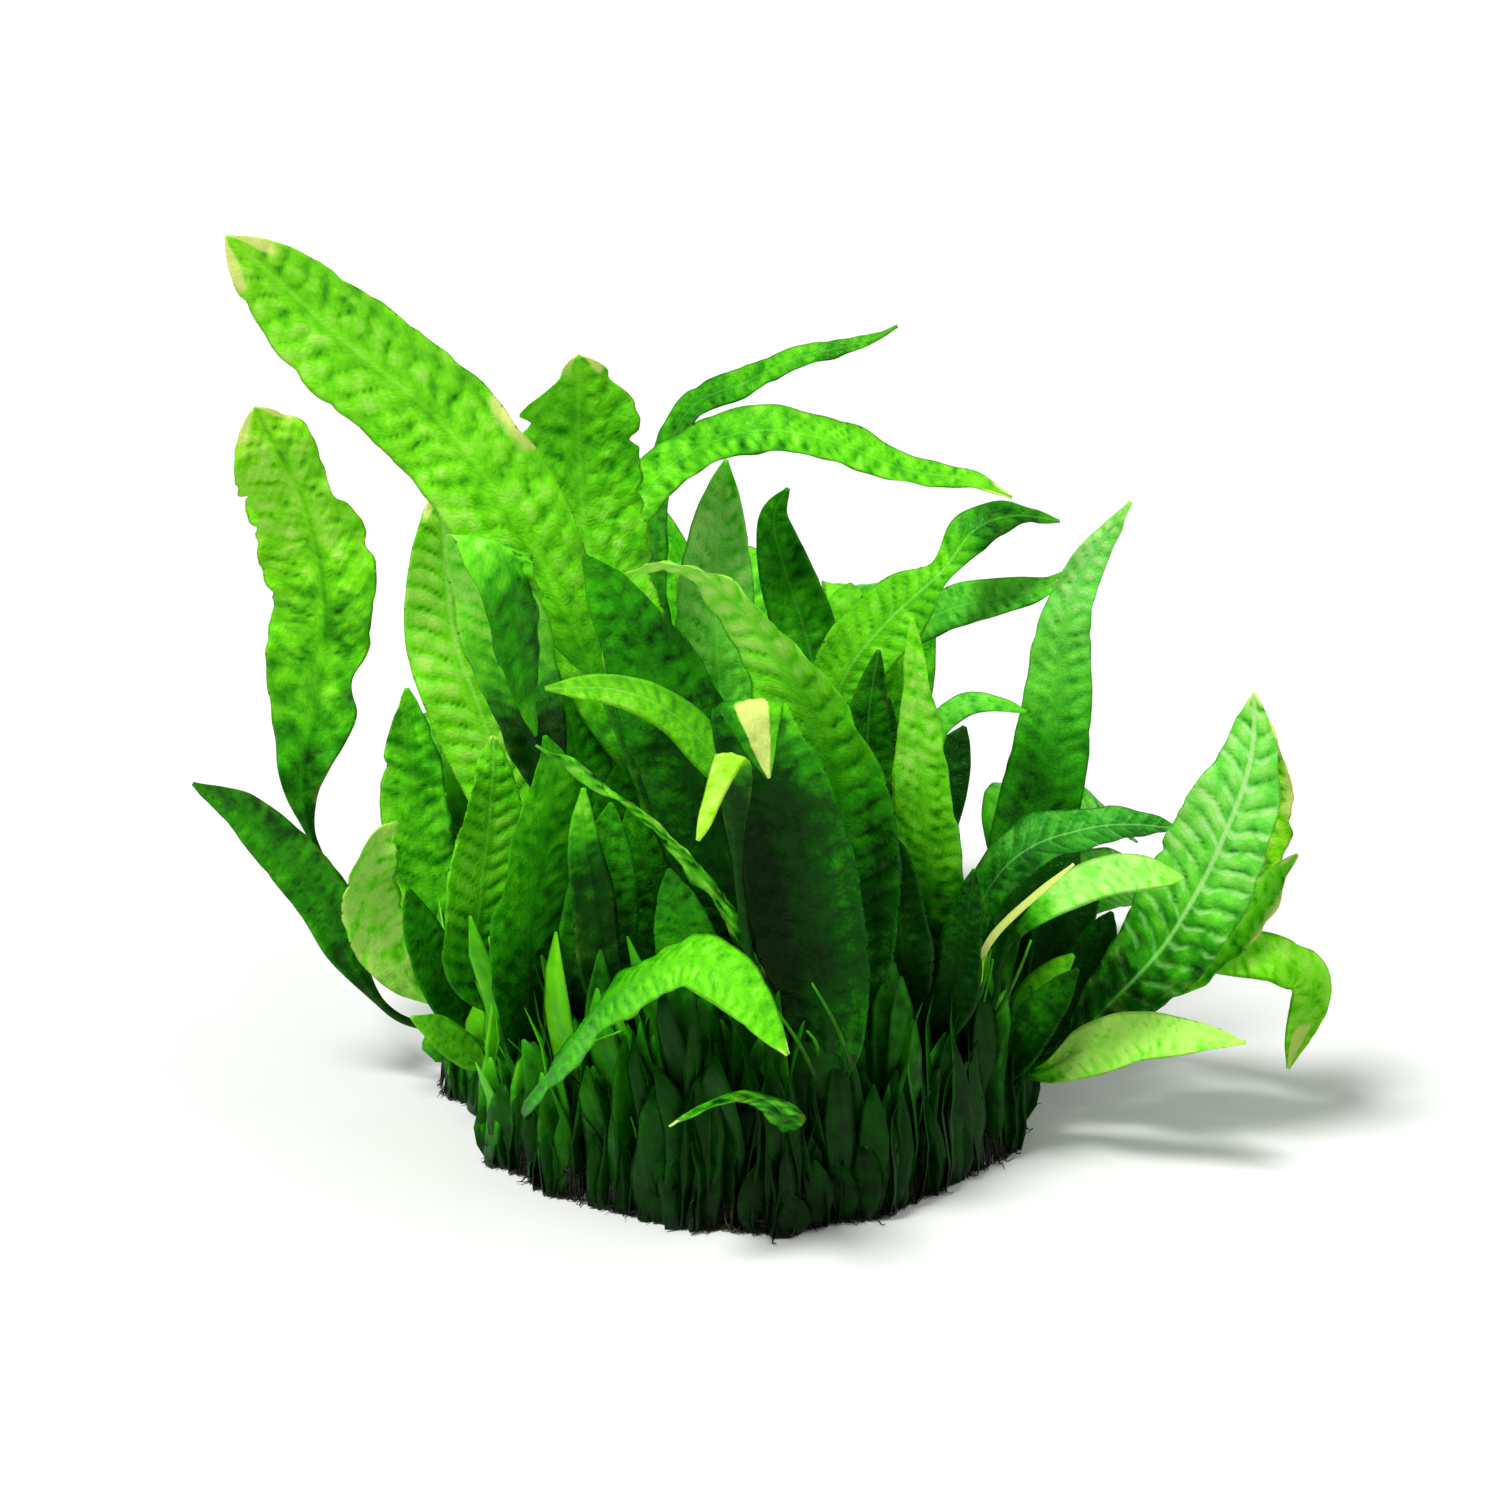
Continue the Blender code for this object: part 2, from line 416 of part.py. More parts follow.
def material(name, colour, roughness):
    made = bpy.data.materials.new(name)
    made.use_nodes = True
    shader = made.node_tree.nodes["Principled BSDF"]
    shader.inputs["Base Color"].default_value = (*colour, 1)
    shader.inputs["Roughness"].default_value = roughness
    shader.inputs["Metallic"].default_value = 0
    return made


def new_object(name, data, collection, coat=None):
    made = bpy.data.objects.new(name, data)
    collection.objects.link(made)
    if coat:
        made.data.materials.append(coat)
    return made


def build_leaf(leaf, collection, coat=None):
    """A grid bent to the leaf's surface, thickened to a solid."""
    rows = int(np.clip(round(leaf.length * ROWS_PER_METRE), FEWEST_ROWS, MOST_ROWS))
    grid = bmesh.new()
    bmesh.ops.create_grid(grid, x_segments=2, y_segments=rows, size=0.5)
    u = np.array([corner.co.x for corner in grid.verts]) * 2
    v = np.array([corner.co.y for corner in grid.verts]) + 0.5
    for corner, point in zip(grid.verts, leaf.surface(u, v)):
        corner.co = point
    mesh = bpy.data.meshes.new(leaf.name)
    grid.to_mesh(mesh)
    grid.free()
    made = new_object(leaf.name, mesh, collection, coat)
    thick = made.modifiers.new("Thickness", "SOLIDIFY")
    thick.thickness = LEAF_THICK
    thick.offset = 0
    return made


def tube(name, line, radius_at, rings, sides, collection, coat=None, flatten=1.0):
    """A mesh tube along a line: a curve with a round bevel, its ends filled and welded."""
    curve = bpy.data.curves.new(name, "CURVE")
    curve.dimensions = "3D"
    curve.bevel_depth = 1.0
    curve.bevel_resolution = sides // 2 - 2
    curve.use_fill_caps = True
    spline = curve.splines.new("POLY")
    places = np.linspace(0, len(line) - 1, rings).round().astype(int)
    spline.points.add(rings - 1)
    for point, place in zip(spline.points, places):
        point.co = (*(line[place] / (1, 1, flatten)), 1)
        point.radius = radius_at(place / (len(line) - 1))
    guide = new_object(name + "_guide", curve, collection)
    bpy.context.view_layer.update()
    mesh = bpy.data.meshes.new_from_object(guide.evaluated_get(bpy.context.evaluated_depsgraph_get()))
    mesh.name = name
    bpy.data.objects.remove(guide)
    form = bmesh.new()
    form.from_mesh(mesh)
    bmesh.ops.remove_doubles(form, verts=form.verts, dist=0.01 * MM)
    for corner in form.verts:
        corner.co.z *= flatten
    bmesh.ops.recalc_face_normals(form, faces=form.faces)
    form.to_mesh(mesh)
    form.free()
    return new_object(name, mesh, collection, coat)


def cutter(made):
    made.hide_render = True
    made.display_type = "WIRE"
    return made


def combine(target, other, operation):
    joined = target.modifiers.new(other.name, "BOOLEAN")
    joined.operation = operation
    joined.object = other


def box(name, size, centre, corner, edge, collection, coat=None):
    """A flat box with rounded upright corners and softened rims."""
    shape = bmesh.new()
    bmesh.ops.create_cube(shape, size=1)
    for point in shape.verts:
        point.co = Vector(p * s for p, s in zip(point.co, size)) + Vector(centre)
    upright = [e for e in shape.edges if abs(e.verts[0].co.z - e.verts[1].co.z) > size[2] / 2]
    bmesh.ops.bevel(shape, geom=upright, offset=corner, segments=4, profile=0.5, affect="EDGES")
    mesh = bpy.data.meshes.new(name)
    shape.to_mesh(mesh)
    shape.free()
    made = new_object(name, mesh, collection, coat)
    if edge:
        rim = made.modifiers.new("Rim", "BEVEL")
        rim.width = edge
        rim.segments = 2
        rim.limit_method = "ANGLE"
        rim.angle_limit = math.radians(60)
    return made


def rhizome_radius(share):
    """Tapers to the growing tip and swells a little where leaves have grown."""
    taper = min(1.0, 0.62 + 3.2 * share, 0.5 + 3.6 * (1 - share))
    return RHIZOME_RADIUS * taper * (1 - 0.08 * (0.5 + 0.5 * math.cos(share * 9 * math.pi)))


def root_radius(share):
    """Flattened tube's sideways half width, drawn in at both ends."""
    return ROOT_HALF_WIDTH * min(1.0, 0.45 + 2.4 * share, 0.4 + 2.6 * (1 - share))


def build_roots(collection, helpers, coat):
    """Flattened tubes under all the rhizomes, joined, then hollowed for the mat and the rhizomes."""
    flatten = ROOT_HALF_HEIGHT / ROOT_HALF_WIDTH
    pads = []
    for places in (*RHIZOMES.values(), *ROOT_ENDS):
        line = level_line((places[0], places[-1]), ROOT_HEIGHT + ROOT_STEP * len(pads))
        home = helpers if pads else collection
        pads.append(tube("root_pad", line, root_radius, ROOT_RINGS, 8, home, None, flatten))
    roots = pads[0]
    roots.name = "roots"
    roots.data.materials.append(coat)
    for pad in pads[1:]:
        combine(roots, cutter(pad), "UNION")
    room = box("mat_room", (MAT_WIDTH + 2 * GAP, MAT_LENGTH + 2 * GAP, MAT_THICK + 2 * GAP),
               (0, 0, MAT_THICK / 2), MAT_CORNER, 0, helpers)
    combine(roots, cutter(room), "DIFFERENCE")
    for name in RHIZOMES:
        line = rhizome_line(name)
        along = (line[-1] - line[0]) / np.linalg.norm(line[-1] - line[0])
        line[0] -= along * GAP
        line[-1] += along * GAP
        groove = tube(name + "_room", line, lambda share: rhizome_radius(share) + 1.6 * GAP, RHIZOME_RINGS, 8,
                      helpers)
        combine(roots, cutter(groove), "DIFFERENCE")


def main():
    for old in list(bpy.data.objects):
        bpy.data.objects.remove(old)
    parts = bpy.data.collections.new("java_fern_on_mat")
    helpers = bpy.data.collections.new("cutters")
    for collection in (parts, helpers):
        bpy.context.scene.collection.children.link(collection)
    green = material("leaf", (0.10, 0.42, 0.02), 0.45)
    brown = material("rhizome", (0.09, 0.10, 0.03), 0.6)
    dark = material("root", (0.03, 0.022, 0.012), 0.85)
    coir = material("mat", (0.06, 0.035, 0.018), 0.95)
    box("mat", (MAT_WIDTH, MAT_LENGTH, MAT_THICK), (0, 0, MAT_THICK / 2), MAT_CORNER, MAT_EDGE, parts, coir)
    build_roots(parts, helpers, dark)
    leaves, young = all_leaves()
    for leaf in leaves:
        build_leaf(leaf, parts, green)
    for name in RHIZOMES:
        rhizome = tube(name, rhizome_line(name), rhizome_radius, RHIZOME_RINGS, 8, parts, brown)
        for leaf in young[name]:
            combine(rhizome, cutter(build_leaf(leaf, helpers)), "UNION")


main()
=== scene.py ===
# The looks of a java fern on a coconut-fibre mat, laid out as an add-on and run as a script.
import collections
import functools
import math

import bpy
import mathutils
import numpy as np
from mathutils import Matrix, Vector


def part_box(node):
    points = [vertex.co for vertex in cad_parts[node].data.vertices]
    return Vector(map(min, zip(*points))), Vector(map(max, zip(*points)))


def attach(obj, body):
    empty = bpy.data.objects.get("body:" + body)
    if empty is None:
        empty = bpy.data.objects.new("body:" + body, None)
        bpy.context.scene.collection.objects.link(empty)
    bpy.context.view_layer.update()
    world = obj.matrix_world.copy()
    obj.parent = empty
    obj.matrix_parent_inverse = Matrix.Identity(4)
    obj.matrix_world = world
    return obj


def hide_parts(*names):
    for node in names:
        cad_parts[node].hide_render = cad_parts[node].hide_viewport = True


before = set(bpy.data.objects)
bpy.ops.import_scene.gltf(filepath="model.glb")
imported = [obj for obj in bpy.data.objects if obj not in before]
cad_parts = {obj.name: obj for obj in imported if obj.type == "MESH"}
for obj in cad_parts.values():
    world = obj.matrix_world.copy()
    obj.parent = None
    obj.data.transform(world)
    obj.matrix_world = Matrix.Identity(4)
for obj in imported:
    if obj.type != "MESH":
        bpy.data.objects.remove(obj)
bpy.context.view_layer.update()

bl_info = {
    "name": "Java Fern on a Mat",
    "version": (1, 0, 0),
    "blender": (4, 5, 0),
    "location": "View3D > Sidebar > Fern",
    "description": "Builds the fern's leaves, its rhizomes and roots, the fibre mat and a plain stage",
    "category": "Add Mesh",
}

MM = 0.001
BODY = "root"
UP = np.array([0.0, 0.0, 1.0])

# The side the clump is set out from: turned round the mat, and looking down on it
VIEW_TURN = math.radians(30)
VIEW_DOWN = math.radians(20)
EYE_DISTANCE = 1.1
SIGHT_ACROSS = -7 * MM
SIGHT_UP = 73 * MM
PICTURE_WIDTH = 315 * MM  # what the picture's width takes in at the origin's distance
RIGHT = np.array([math.cos(VIEW_TURN), math.sin(VIEW_TURN), 0.0])
BACK = np.array([-math.sin(VIEW_TURN), math.cos(VIEW_TURN), 0.0])
INTO_VIEW = BACK * math.cos(VIEW_DOWN) - UP * math.sin(VIEW_DOWN)
VIEW_UP = np.cross(RIGHT, INTO_VIEW)
TO_VIEWER = -INTO_VIEW

# Rhizomes and roots, as the solids have them. A foot is how far over the rhizome's middle a stalk starts.
RHIZOME_RADIUS = 3.0 * MM
RHIZOME_HEIGHT = 9.0 * MM
ROOT_HALF_WIDTH = 17 * MM
ROOT_HALF_HEIGHT = 4.4 * MM
ROOT_HEIGHT = 5.4 * MM
GAP = 0.3 * MM
FOOT_LEAN = math.radians(38)
FREE_FOOT = RHIZOME_RADIUS + GAP + 0.4 * MM
GROWN_FOOT = 0.3 * RHIZOME_RADIUS

# Leaves, as the solids have them
STALK_HALF_WIDTH = 0.9 * MM
TIP_HALF_WIDTH = 0.5 * MM
LEAF_CUP = 0.16
WIDEST = 0.48
TIP_POWER = 2.6
TIP_POWERS = {"tall_left": 5, "top_notched": 12, "far_left": 7, "right_big": 2,
              "right_bottom": 1.5, "upright_right": 1.5, "right_tall": 1.6}
WIDEST_PLACES = {"tall_left": 0.4, "right_big": 0.6, "pale_tip": 0.6, "right_level": 0.6,
                 "upright_right": 0.36, "right_tall": 0.3, "front_arch": 0.6}
LINE_POINTS = 193

# How the leaves are slid apart along the line of sight, as the solids are
CLEARANCE = 2.4 * MM
FOOT_ZONE = 14 * MM  # how far up a stalk less room is kept
KNOTS = 8
SETTLE_ROUNDS = 160
SETTLE_STEP, EVENING_STEP = 0.35, 0.12
PAIR_REACH = 3.4 * MM
SAMPLE_ROWS, SAMPLE_COLUMNS = 48, 7

# Where each rhizome creeps over the mat, in millimetres along X and Y
RHIZOMES = {
    "left": ((-24, -53), (-25, -28), (-21, 0), (-25, 29), (-21, 52)),
    "middle": ((4, -54), (-3, -24), (3, 10), (-3, 51)),
    "right": ((26, -53), (24, -29), (27, -5), (41, 14)),
    "branch": ((-33, -16), (-46, -22), (-59, -28)),
    "back": ((21, 25), (26, 40), (21, 54)),
}

SCALE_RIPPLES = dict(zip(RHIZOMES, (12, 14, 13, 14, 12)))  # which ripple each rhizome's knobs follow

# Roots also run across both ends of the mat, in millimetres along X and Y
ROOT_ENDS = (((-31, -48), (31, -49)), ((-30, 46), (28, 47)))

# Each leaf: its name, its rhizome and the share of the rhizome's length where it grows, the blade's
# width, the share of the length that is bare stalk, the turn of the blade at foot, middle and tip in
# degrees from facing the viewer, and the midrib's points above the foot as (across, up, back).
LEAVES = (
    ("tall_left", "middle", 0.15, 24, 0.43, (0, 0, 8), ((-18, 31, -28), (-30, 65, -32), (-42, 94, -34),
     (-55, 119, -34), (-71, 141, -32), (-93, 160, -32), (-117, 181, -36))),
    ("top_notched", "middle", 0.42, 25, 0.3, (0, 0, -8), ((-9, 31, 2), (-24, 63, 8), (-37, 96, 12),
     (-42, 122, 14), (-43, 140, 13), (-43, 156, 10))),
    ("far_left", "branch", 0.87, 24, 0.36, (0, 12, 0), ((-81, 26, 10), (-95, 46, 14), (-101, 64, 18),
     (-98, 84, 22), (-96, 103, 24), (-101, 126, 22), (-111, 145, 16))),
    ("left_inner", "left", 0.24, 21, 0.3, (0, 0, 0), ((-50, 21, -8), (-55, 46, -4), (-60, 69, 0),
     (-64, 82, 2), (-69, 96, 4), (-71, 113, 4), (-72, 129, 2))),
    ("drooping", "left", 0.31, 19, 0.3, (0, 20, 32), ((-44, 46, -14), (-54, 84, -28), (-60, 107, -36),
     (-61, 117, -41), (-58, 109, -47), (-55, 94, -49), (-52, 76, -49))),
    ("arched_big", "right", 0.3, 22, 0.02, (0, 0, 60), ((14, 17, -48), (14, 42, -52), (11, 65, -56),
     (4, 84, -58), (-4, 97, -58), (-14, 107, -56), (-25, 112, -54), (-33, 110, -52))),
    ("small_left", "right", 0.09, 8.5, 0.5, (0, 0, 15), ((-2, 31, -60), (-8, 61, -60), (-18, 76, -60),
     (-27, 83, -60), (-37, 86, -58), (-50, 86, -54))),
    ("folded_tip", "right", 0.14, 23, 0.02, (0, 0, 0), ((9, 10, -62), (6, 35, -67), (2, 57, -71),
     (-4, 74, -76), (-7, 83, -81), (-6, 80, -86), (-3, 67, -88))),
    ("pale_tip", "right", 0.05, 7, 0.6, (0, 0, 25), ((-3, 10, -70), (-8, 35, -73), (-10, 56, -76),
     (-10, 69, -79), (-12, 71, -83), (-18, 54, -86))),
    ("upright_right", "right", 0.64, 17, 0.1, (0, 0, 0), ((32, 21, -34), (31, 42, -48), (30, 61, -58),
     (29, 78, -63), (28, 90, -66), (27, 101, -66))),
    ("right_tall", "right", 0.8, 17, 0.2, (0, 0, 20), ((45, 29, -14), (51, 50, -12), (55, 67, -10),
     (58, 84, -8), (59, 98, -8), (64, 112, -10), (73, 125, -14))),
    ("right_thin", "middle", 0.76, 10, 0.4, (0, 50, 60), ((16, 71, 20), (21, 94, 16), (34, 102, 12),
     (45, 105, 8), (55, 107, 6), (61, 111, 6))),
    ("bridge", "right", 0.7, 7, 0.5, (0, 50, 68), ((31, 56, -14), (32, 74, -14), (36, 81, -15), (42, 83, -16),
     (51, 81, -18))),
    ("right_arch", "right", 0.74, 14, 0.28, (0, 42, 50), ((42, 20, -22), (41, 35, -26), (45, 46, -28),
     (53, 53, -28), (63, 56, -26), (74, 57, -24), (84, 56, -22))),
    ("right_big", "right", 1.0, 22, 0.05, (0, -8, -12), ((58, 9, -16), (69, 20, -22), (80, 32, -27),
     (88, 45, -31), (94, 58, -34), (98, 70, -35), (99, 85, -34))),
    ("right_ragged", "back", 0.3, 15, 0.3, (0, 0, 0), ((58, 27, 12), (73, 32, 4), (87, 40, -2), (97, 50, -8),
     (102, 63, -12), (102, 73, -14), (101, 81, -14))),
    ("right_low", "back", 0.1, 14, 0.35, (0, 20, 20), ((66, 17, -4), (81, 26, -12), (94, 35, -18),
     (102, 43, -22), (108, 51, -24))),
    ("right_bottom", "right", 0.92, 12, 0.2, (0, 10, 25), ((54, 5, -24), (63, 9, -31), (75, 12.5, -37),
     (86, 12.5, -42), (97, 11.5, -46))),
    ("right_level", "right", 0.58, 8.5, 0.55, (0, 30, 20), ((42, 17, -34), (46, 30, -40), (54, 39, -44),
     (64, 45, -46), (74, 47, -46), (84, 46, -46))),
    ("yellow_sliver", "right", 0.5, 3.4, 0.5, (0, 30, 30), ((38, 19, -38), (42, 30, -46), (47, 37, -50),
     (55, 44, -54), (61, 49, -56))),
    ("top_arch", "middle", 0.55, 12, 0.26, (0, 45, 60), ((-18, 52, 14), (-28, 88, 22), (-33, 113, 28),
     (-29, 127, 30), (-18, 136, 30), (-4, 140, 28), (12, 137, 26), (25, 132, 24), (38, 130, 22),
     (48, 126, 20))),
    ("mid_right", "middle", 0.61, 15, 0.3, (0, 20, 58), ((10, 46, 4), (9, 70, 4), (13, 88, 2), (23, 101, 0),
     (33, 110, 0), (40, 119, 2), (48, 122, 4), (58, 121, 6))),
    ("top_centre", "middle", 0.46, 18, 0.22, (0, 0, 0), ((-9, 42, 16), (-12, 71, 24), (-14, 96, 32),
     (-14, 113, 36), (-13, 126, 38), (-12, 134, 38))),
    ("top_hook", "middle", 0.65, 14, 0.28, (0, 0, 0), ((10, 50, 22), (9, 75, 30), (5, 96, 36), (0, 112, 40),
     (-2, 122, 42), (1, 128, 42))),
    ("left_low", "branch", 1.0, 12, 0.22, (0, 10, 20), ((-81, 17, 6), (-91, 29, 6), (-96, 41, 4),
     (-104, 51, 2), (-113, 60, 0), (-124, 66, -2))),
    ("left_mottled", "branch", 0.59, 14, 0.3, (0, 0, 0), ((-75, 21, -2), (-84, 33, -6), (-87, 44, -8),
     (-85, 53, -8), (-81, 58, -6))),
    ("left_wavy", "branch", 0.73, 15, 0.15, (0, 0, 0), ((-70, 22, 14), (-74, 42, 16), (-77, 58, 17),
     (-78, 73, 18), (-79, 86, 18))),
    ("left_ribbed", "branch", 0.2, 17, 0.16, (0, 0, 0), ((-63, 25, -14), (-64, 42, -16), (-62, 56, -16),
     (-61, 67, -16), (-61, 76, -14))),
    ("front_broad", "left", 0.1, 20, 0.08, (0, 0, 0), ((-53, 8, -36), (-54, 31, -42), (-51, 52, -46),
     (-49, 67, -48), (-50, 76, -48))),
    ("bright_tip", "middle", 0.02, 9, 0.15, (0, 0, 0), ((-37, 21, -50), (-40, 42, -52), (-42, 54, -53),
     (-42, 65, -54))),
    ("twisted", "right", 0.25, 11, 0.35, (0, 60, 60), ((1, 14, -66), (-6, 29, -66), (-14, 43, -66),
     (-23, 53, -64), (-33, 62, -62), (-43, 69, -60), (-52, 74, -58))),
    ("front_arch", "left", 0.0, 14, 0.05, (0, 10, 25), ((-54, -3, -46), (-48, 6, -56), (-39, 18, -66),
     (-28, 26, -76), (-19, 29, -84), (-10, 24, -92), (1, 9, -98))),
    ("front_thin", "left", 0.05, 6, 0.35, (0, 40, 50), ((-54, -1, -42), (-49, 6, -48), (-42, 11, -54),
     (-34, 14, -58))),
    ("front_small", "right", 0.0, 12, 0.2, (0, 10, 10), ((0, -3, -74), (-7, 1, -80), (-15, -1, -84),
     (-24, -6, -87))),
    ("left_hook", "branch", 0.05, 7, 0.4, (0, 20, 30), ((-61, 8, -10), (-68, 11, -14), (-73, 15, -18),
     (-78, 17, -22))),
    ("dark_mid", "middle", 0.09, 23, 0.1, (0, 0, 0), ((-8, 31, -44), (-14, 58, -44), (-22, 79, -44),
     (-30, 96, -44), (-37, 107, -43), (-42, 114, -42))),
    ("mid_back", "middle", 0.7, 12, 0.15, (0, 0, 0), ((20, 42, 0), (18, 63, -6), (18, 80, -8), (20, 94, -8))),
    ("right_small", "right", 0.86, 8, 0.3, (0, 10, 10), ((47, 12, -18), (52, 20, -22), (57, 26, -24),
     (61, 30, -24))),
    ("top_back", "middle", 0.85, 8, 0.32, (0, 50, 65), ((-13, 63, 40), (-25, 100, 46), (-26, 126, 48),
     (-20, 144, 48), (-8, 150, 46), (3, 155, 44), (18, 159, 42), (24, 162, 42))),
    ("right_far", "back", 0.6, 10, 0.4, (0, 30, 0), ((58, 28, 24), (70, 29, 16), (82, 29, 8), (94, 30, 0),
     (104, 29, -6), (111, 23, -10), (106, 6, -14))),
    ("back_1", "left", 0.6, 23, 0.24, (0, 0, 0), ((-24, 48, 34), (-36, 82, 48), (-50, 106, 62),
     (-64, 116, 78), (-76, 112, 94))),
    ("back_2", "left", 0.75, 24, 0.24, (0, 0, 0), ((-14, 56, 50), (-22, 90, 60), (-32, 114, 72),
     (-42, 122, 86), (-50, 116, 102))),
    ("back_3", "left", 0.9, 22, 0.2, (0, 0, 0), ((0, 58, 62), (-4, 88, 72), (-10, 106, 84), (-16, 108, 100),
     (-22, 96, 116))),
    ("back_4", "middle", 1.0, 23, 0.22, (0, 0, 0), ((22, 54, 58), (22, 84, 68), (20, 104, 80), (18, 106, 96),
     (16, 92, 112))),
    ("back_5", "left", 1.0, 18, 0.2, (0, 0, 0), ((10, 50, 70), (14, 68, 84), (18, 72, 98), (22, 64, 110))),
    ("back_6", "back", 0.5, 20, 0.2, (0, 0, 0), ((46, 40, 34), (54, 56, 50), (64, 60, 66), (74, 54, 80))),
    ("back_7", "back", 0.8, 19, 0.2, (0, 0, 0), ((48, 42, 46), (50, 58, 62), (54, 62, 78), (60, 52, 92))),
    ("back_8", "back", 1.0, 16, 0.2, (0, 0, 0), ((54, 36, 52), (62, 44, 66), (72, 46, 80), (80, 41, 92))),
    ("back_9", "left", 0.45, 21, 0.24, (0, 0, 0), ((-36, 36, 16), (-50, 58, 28), (-64, 72, 40), (-76, 74, 54),
     (-84, 66, 66))),
    ("back_10", "left", 0.57, 20, 0.22, (0, 0, 0), ((-28, 50, 22), (-38, 84, 30), (-46, 108, 38),
     (-52, 118, 46))),
    ("back_11", "middle", 0.92, 20, 0.2, (0, 0, 0), ((20, 60, 50), (16, 86, 54), (14, 102, 58),
     (14, 108, 64))),
    ("back_12", "left", 0.37, 15, 0.2, (0, 20, 20), ((-44, 24, 6), (-58, 38, 14), (-72, 44, 24),
     (-86, 42, 34))),
)

# Young leaves that are grown together with their rhizomes: the share of the rhizome's length where each
# grows, its width, its share of bare stalk, and its midrib's points. They face the viewer.
YOUNG_LEAVES = {
    "left": (
        (0.17, 16, 0.1, ((-40, 20, -38), (-38, 42, -40), (-36, 62, -42))),
        (0.28, 14, 0.1, ((-46, 30, -24), (-47, 50, -24), (-45, 66, -24))),
        (0.41, 15, 0.1, ((-38, 34, -12), (-36, 56, -14), (-33, 72, -14))),
        (0.49, 15, 0.15, ((-38, 44, 6), (-42, 66, 8), (-46, 86, 10))),
        (0.535, 15, 0.15, ((-34, 42, 14), (-38, 62, 14), (-40, 78, 16))),
        (0.84, 14, 0.15, ((-8, 50, 48), (-6, 72, 54), (-6, 88, 60))),
    ),
    "middle": (
        (0.05, 15, 0.1, ((-16, 14, -52), (-20, 32, -56), (-24, 48, -58))),
        (0.22, 15, 0.1, ((-22, 30, -20), (-28, 48, -20), (-32, 62, -18))),
        (0.28, 14, 0.1, ((-6, 28, -30), (-4, 48, -32), (-1, 64, -32))),
        (0.34, 15, 0.15, ((-18, 40, -16), (-20, 62, -18), (-19, 80, -18))),
        (0.5, 14, 0.15, ((6, 38, -4), (8, 60, -8), (11, 76, -12))),
        (0.8, 14, 0.15, ((14, 48, 36), (18, 68, 40), (22, 84, 44))),
        (0.96, 14, 0.15, ((26, 46, 44), (32, 64, 50), (38, 78, 56))),
    ),
    "right": (
        (0.34, 13, 0.1, ((8, 24, -42), (2, 42, -44), (-4, 58, -48))),
        (0.38, 13, 0.1, ((24, 22, -44), (24, 42, -52), (22, 58, -58))),
        (0.45, 10, 0.15, ((34, 18, -42), (38, 34, -50), (40, 48, -56))),
        (0.89, 12, 0.15, ((44, 22, -2), (48, 40, 0), (50, 56, 4))),
        (0.96, 12, 0.15, ((50, 20, 2), (58, 34, 6), (66, 46, 10))),
        (0.98, 11, 0.15, ((56, 14, -8), (63, 26, -10), (69, 39, -12))),
        (0.82, 10, 0.1, ((46, 8, -28), (54, 17, -32), (62, 27, -34))),
    ),
    "back": (
        (0.2, 12, 0.15, ((44, 26, 14), (50, 42, 16), (54, 56, 20))),
        (0.4, 12, 0.15, ((46, 28, 24), (54, 42, 30), (62, 52, 38))),
    ),
    "branch": (
        (0.3, 12, 0.15, ((-58, 14, 0), (-66, 28, 0), (-72, 40, 4))),
        (0.48, 12, 0.15, ((-68, 24, 20), (-76, 38, 28), (-84, 46, 36))),
        (0.4, 11, 0.15, ((-68, 20, -12), (-75, 32, -18), (-79, 44, -20))),
    ),
}

